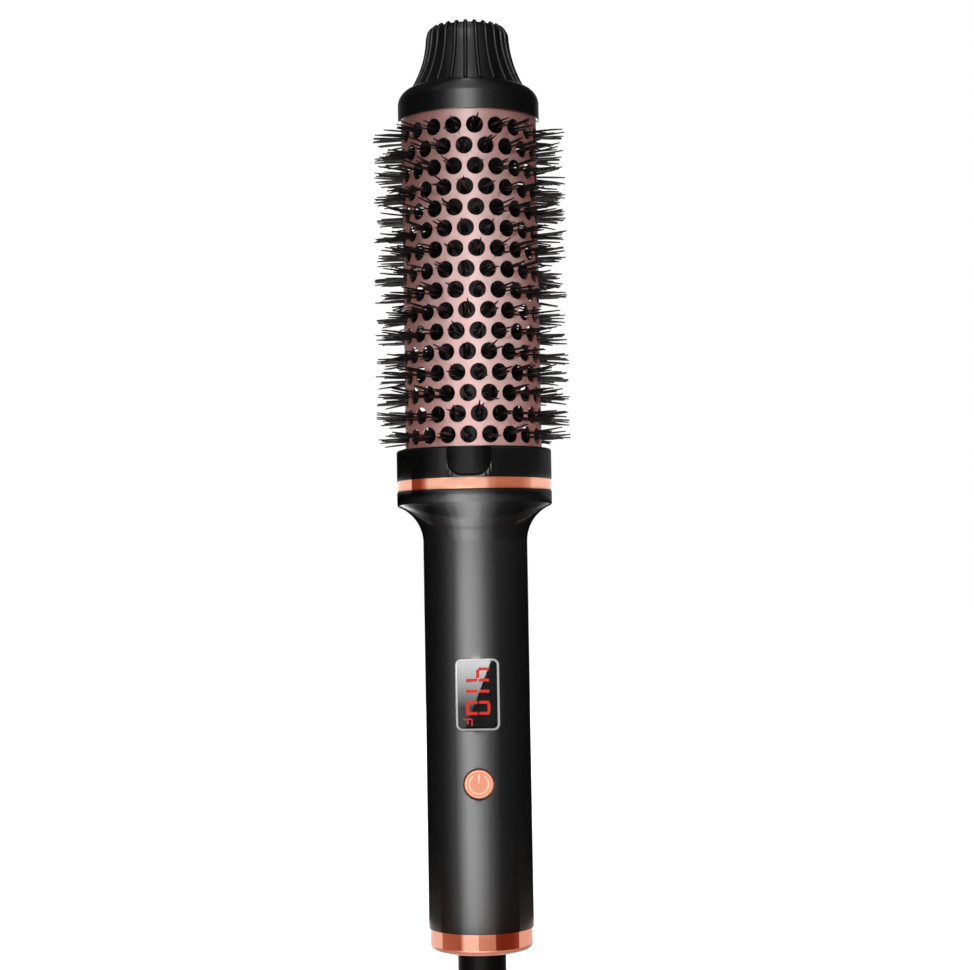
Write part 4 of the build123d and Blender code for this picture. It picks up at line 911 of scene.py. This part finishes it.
# two cards close in front that only flat, glossy faces show: a slanted window for the pane, which fades
# downwards, and a plain one for the button
card = {"distance": 44, "middle": -0.2, "paneLow": -0.6, "paneHigh": 21.6, "paneWidth": 13.4, "buttonLow": -21.6,
        "buttonHigh": -12.0, "buttonWidth": 9.6, "slantX": 0.929, "slantZ": -0.370, "slantAt": 3.9, "soft": 0.15,
        "bright": 17.0, "faint": 1.3, "fadeLow": 6.6, "fadeHigh": 20.9, "dark": 0.12,
        "plain": (0.92, 0.71, 0.66, 1), "plainTop": -6.0, "plainFade": 1, "seenWithin": 30.5}


def makeCard(low, high, width):
    deselectAll()
    bpy.ops.mesh.primitive_plane_add(size=1, rotation=(-math.pi / 2, 0, 0), location=(
        card["middle"] * mm, -card["distance"] * mm, (low + high) / 2 * mm))
    plane = bpy.context.object
    plane.scale = (width * mm, (high - low) * mm, 1)
    return placed(plane)


frontCard = joined([makeCard(card["paneLow"], card["paneHigh"], card["paneWidth"]),
                    makeCard(card["buttonLow"], card["buttonHigh"], card["buttonWidth"])], "frontCard")
frontCard.visible_camera = False
frontCard.visible_diffuse = False
frontCard.visible_transmission = False
frontCard.visible_shadow = False
cardPaint, tree, shader = newMaterial("Cards, one with a window")
axes = addNode(tree, "ShaderNodeSeparateXYZ", {}, {"Vector": objectPlace(tree)})
slant = addNode(tree, "ShaderNodeMath", {"operation": "MULTIPLY_ADD", 1: card["slantX"], 2: card["slantAt"] * mm},
                {0: axes.outputs["X"]})
slant = addNode(tree, "ShaderNodeMath", {"operation": "MULTIPLY_ADD", 1: card["slantZ"]},
                {0: axes.outputs["Z"], 2: slant.outputs[0]})
window = addNode(tree, "ShaderNodeMapRange", {"From Min": card["soft"] * mm, "From Max": -card["soft"] * mm},
                 {"Value": slant.outputs[0]})
fade = addNode(tree, "ShaderNodeMapRange", {"From Min": card["fadeLow"] * mm, "From Max": card["fadeHigh"] * mm,
                                            "To Min": card["faint"], "To Max": card["bright"]},
               {"Value": axes.outputs["Z"]})
pane = addNode(tree, "ShaderNodeMix", {"data_type": "FLOAT", 2: card["dark"]},
               {0: window.outputs["Result"], 3: fade.outputs["Result"]})
low = addNode(tree, "ShaderNodeMapRange", {"From Min": (card["plainTop"] + card["plainFade"]) * mm,
                                           "From Max": (card["plainTop"] - card["plainFade"]) * mm},
              {"Value": axes.outputs["Z"]})
shown = addNode(tree, "ShaderNodeMix", {"data_type": "FLOAT", 3: 1.0},
                {0: low.outputs["Result"], 2: pane.outputs[0]})
tint = addNode(tree, "ShaderNodeMix", {"data_type": "RGBA", 6: (1, 1, 1, 1), 7: card["plain"]},
               {0: low.outputs["Result"]})
setShader(shader, {"Base Color": (0, 0, 0, 1), "Roughness": 1.0, "Specular IOR Level": 0.0})
tree.links.new(shown.outputs[0], shader.inputs["Emission Strength"])
tree.links.new(tint.outputs[2], shader.inputs["Emission Color"])
# farther than this the card is clear, so that curved pieces don't show it
rays = addNode(tree, "ShaderNodeLightPath")
far = addNode(tree, "ShaderNodeMath", {"operation": "GREATER_THAN", 1: card["seenWithin"] * mm},
              {0: rays.outputs["Ray Length"]})
clear = addNode(tree, "ShaderNodeBsdfTransparent")
mixed = addNode(tree, "ShaderNodeMixShader", {}, {0: far.outputs[0], 1: shader.outputs["BSDF"],
                                                  2: clear.outputs["BSDF"]})
tree.links.new(mixed.outputs["Shader"], tree.nodes["Material Output"].inputs["Surface"])
frontCard.data.materials.append(cardPaint)
print("camera and stage made")
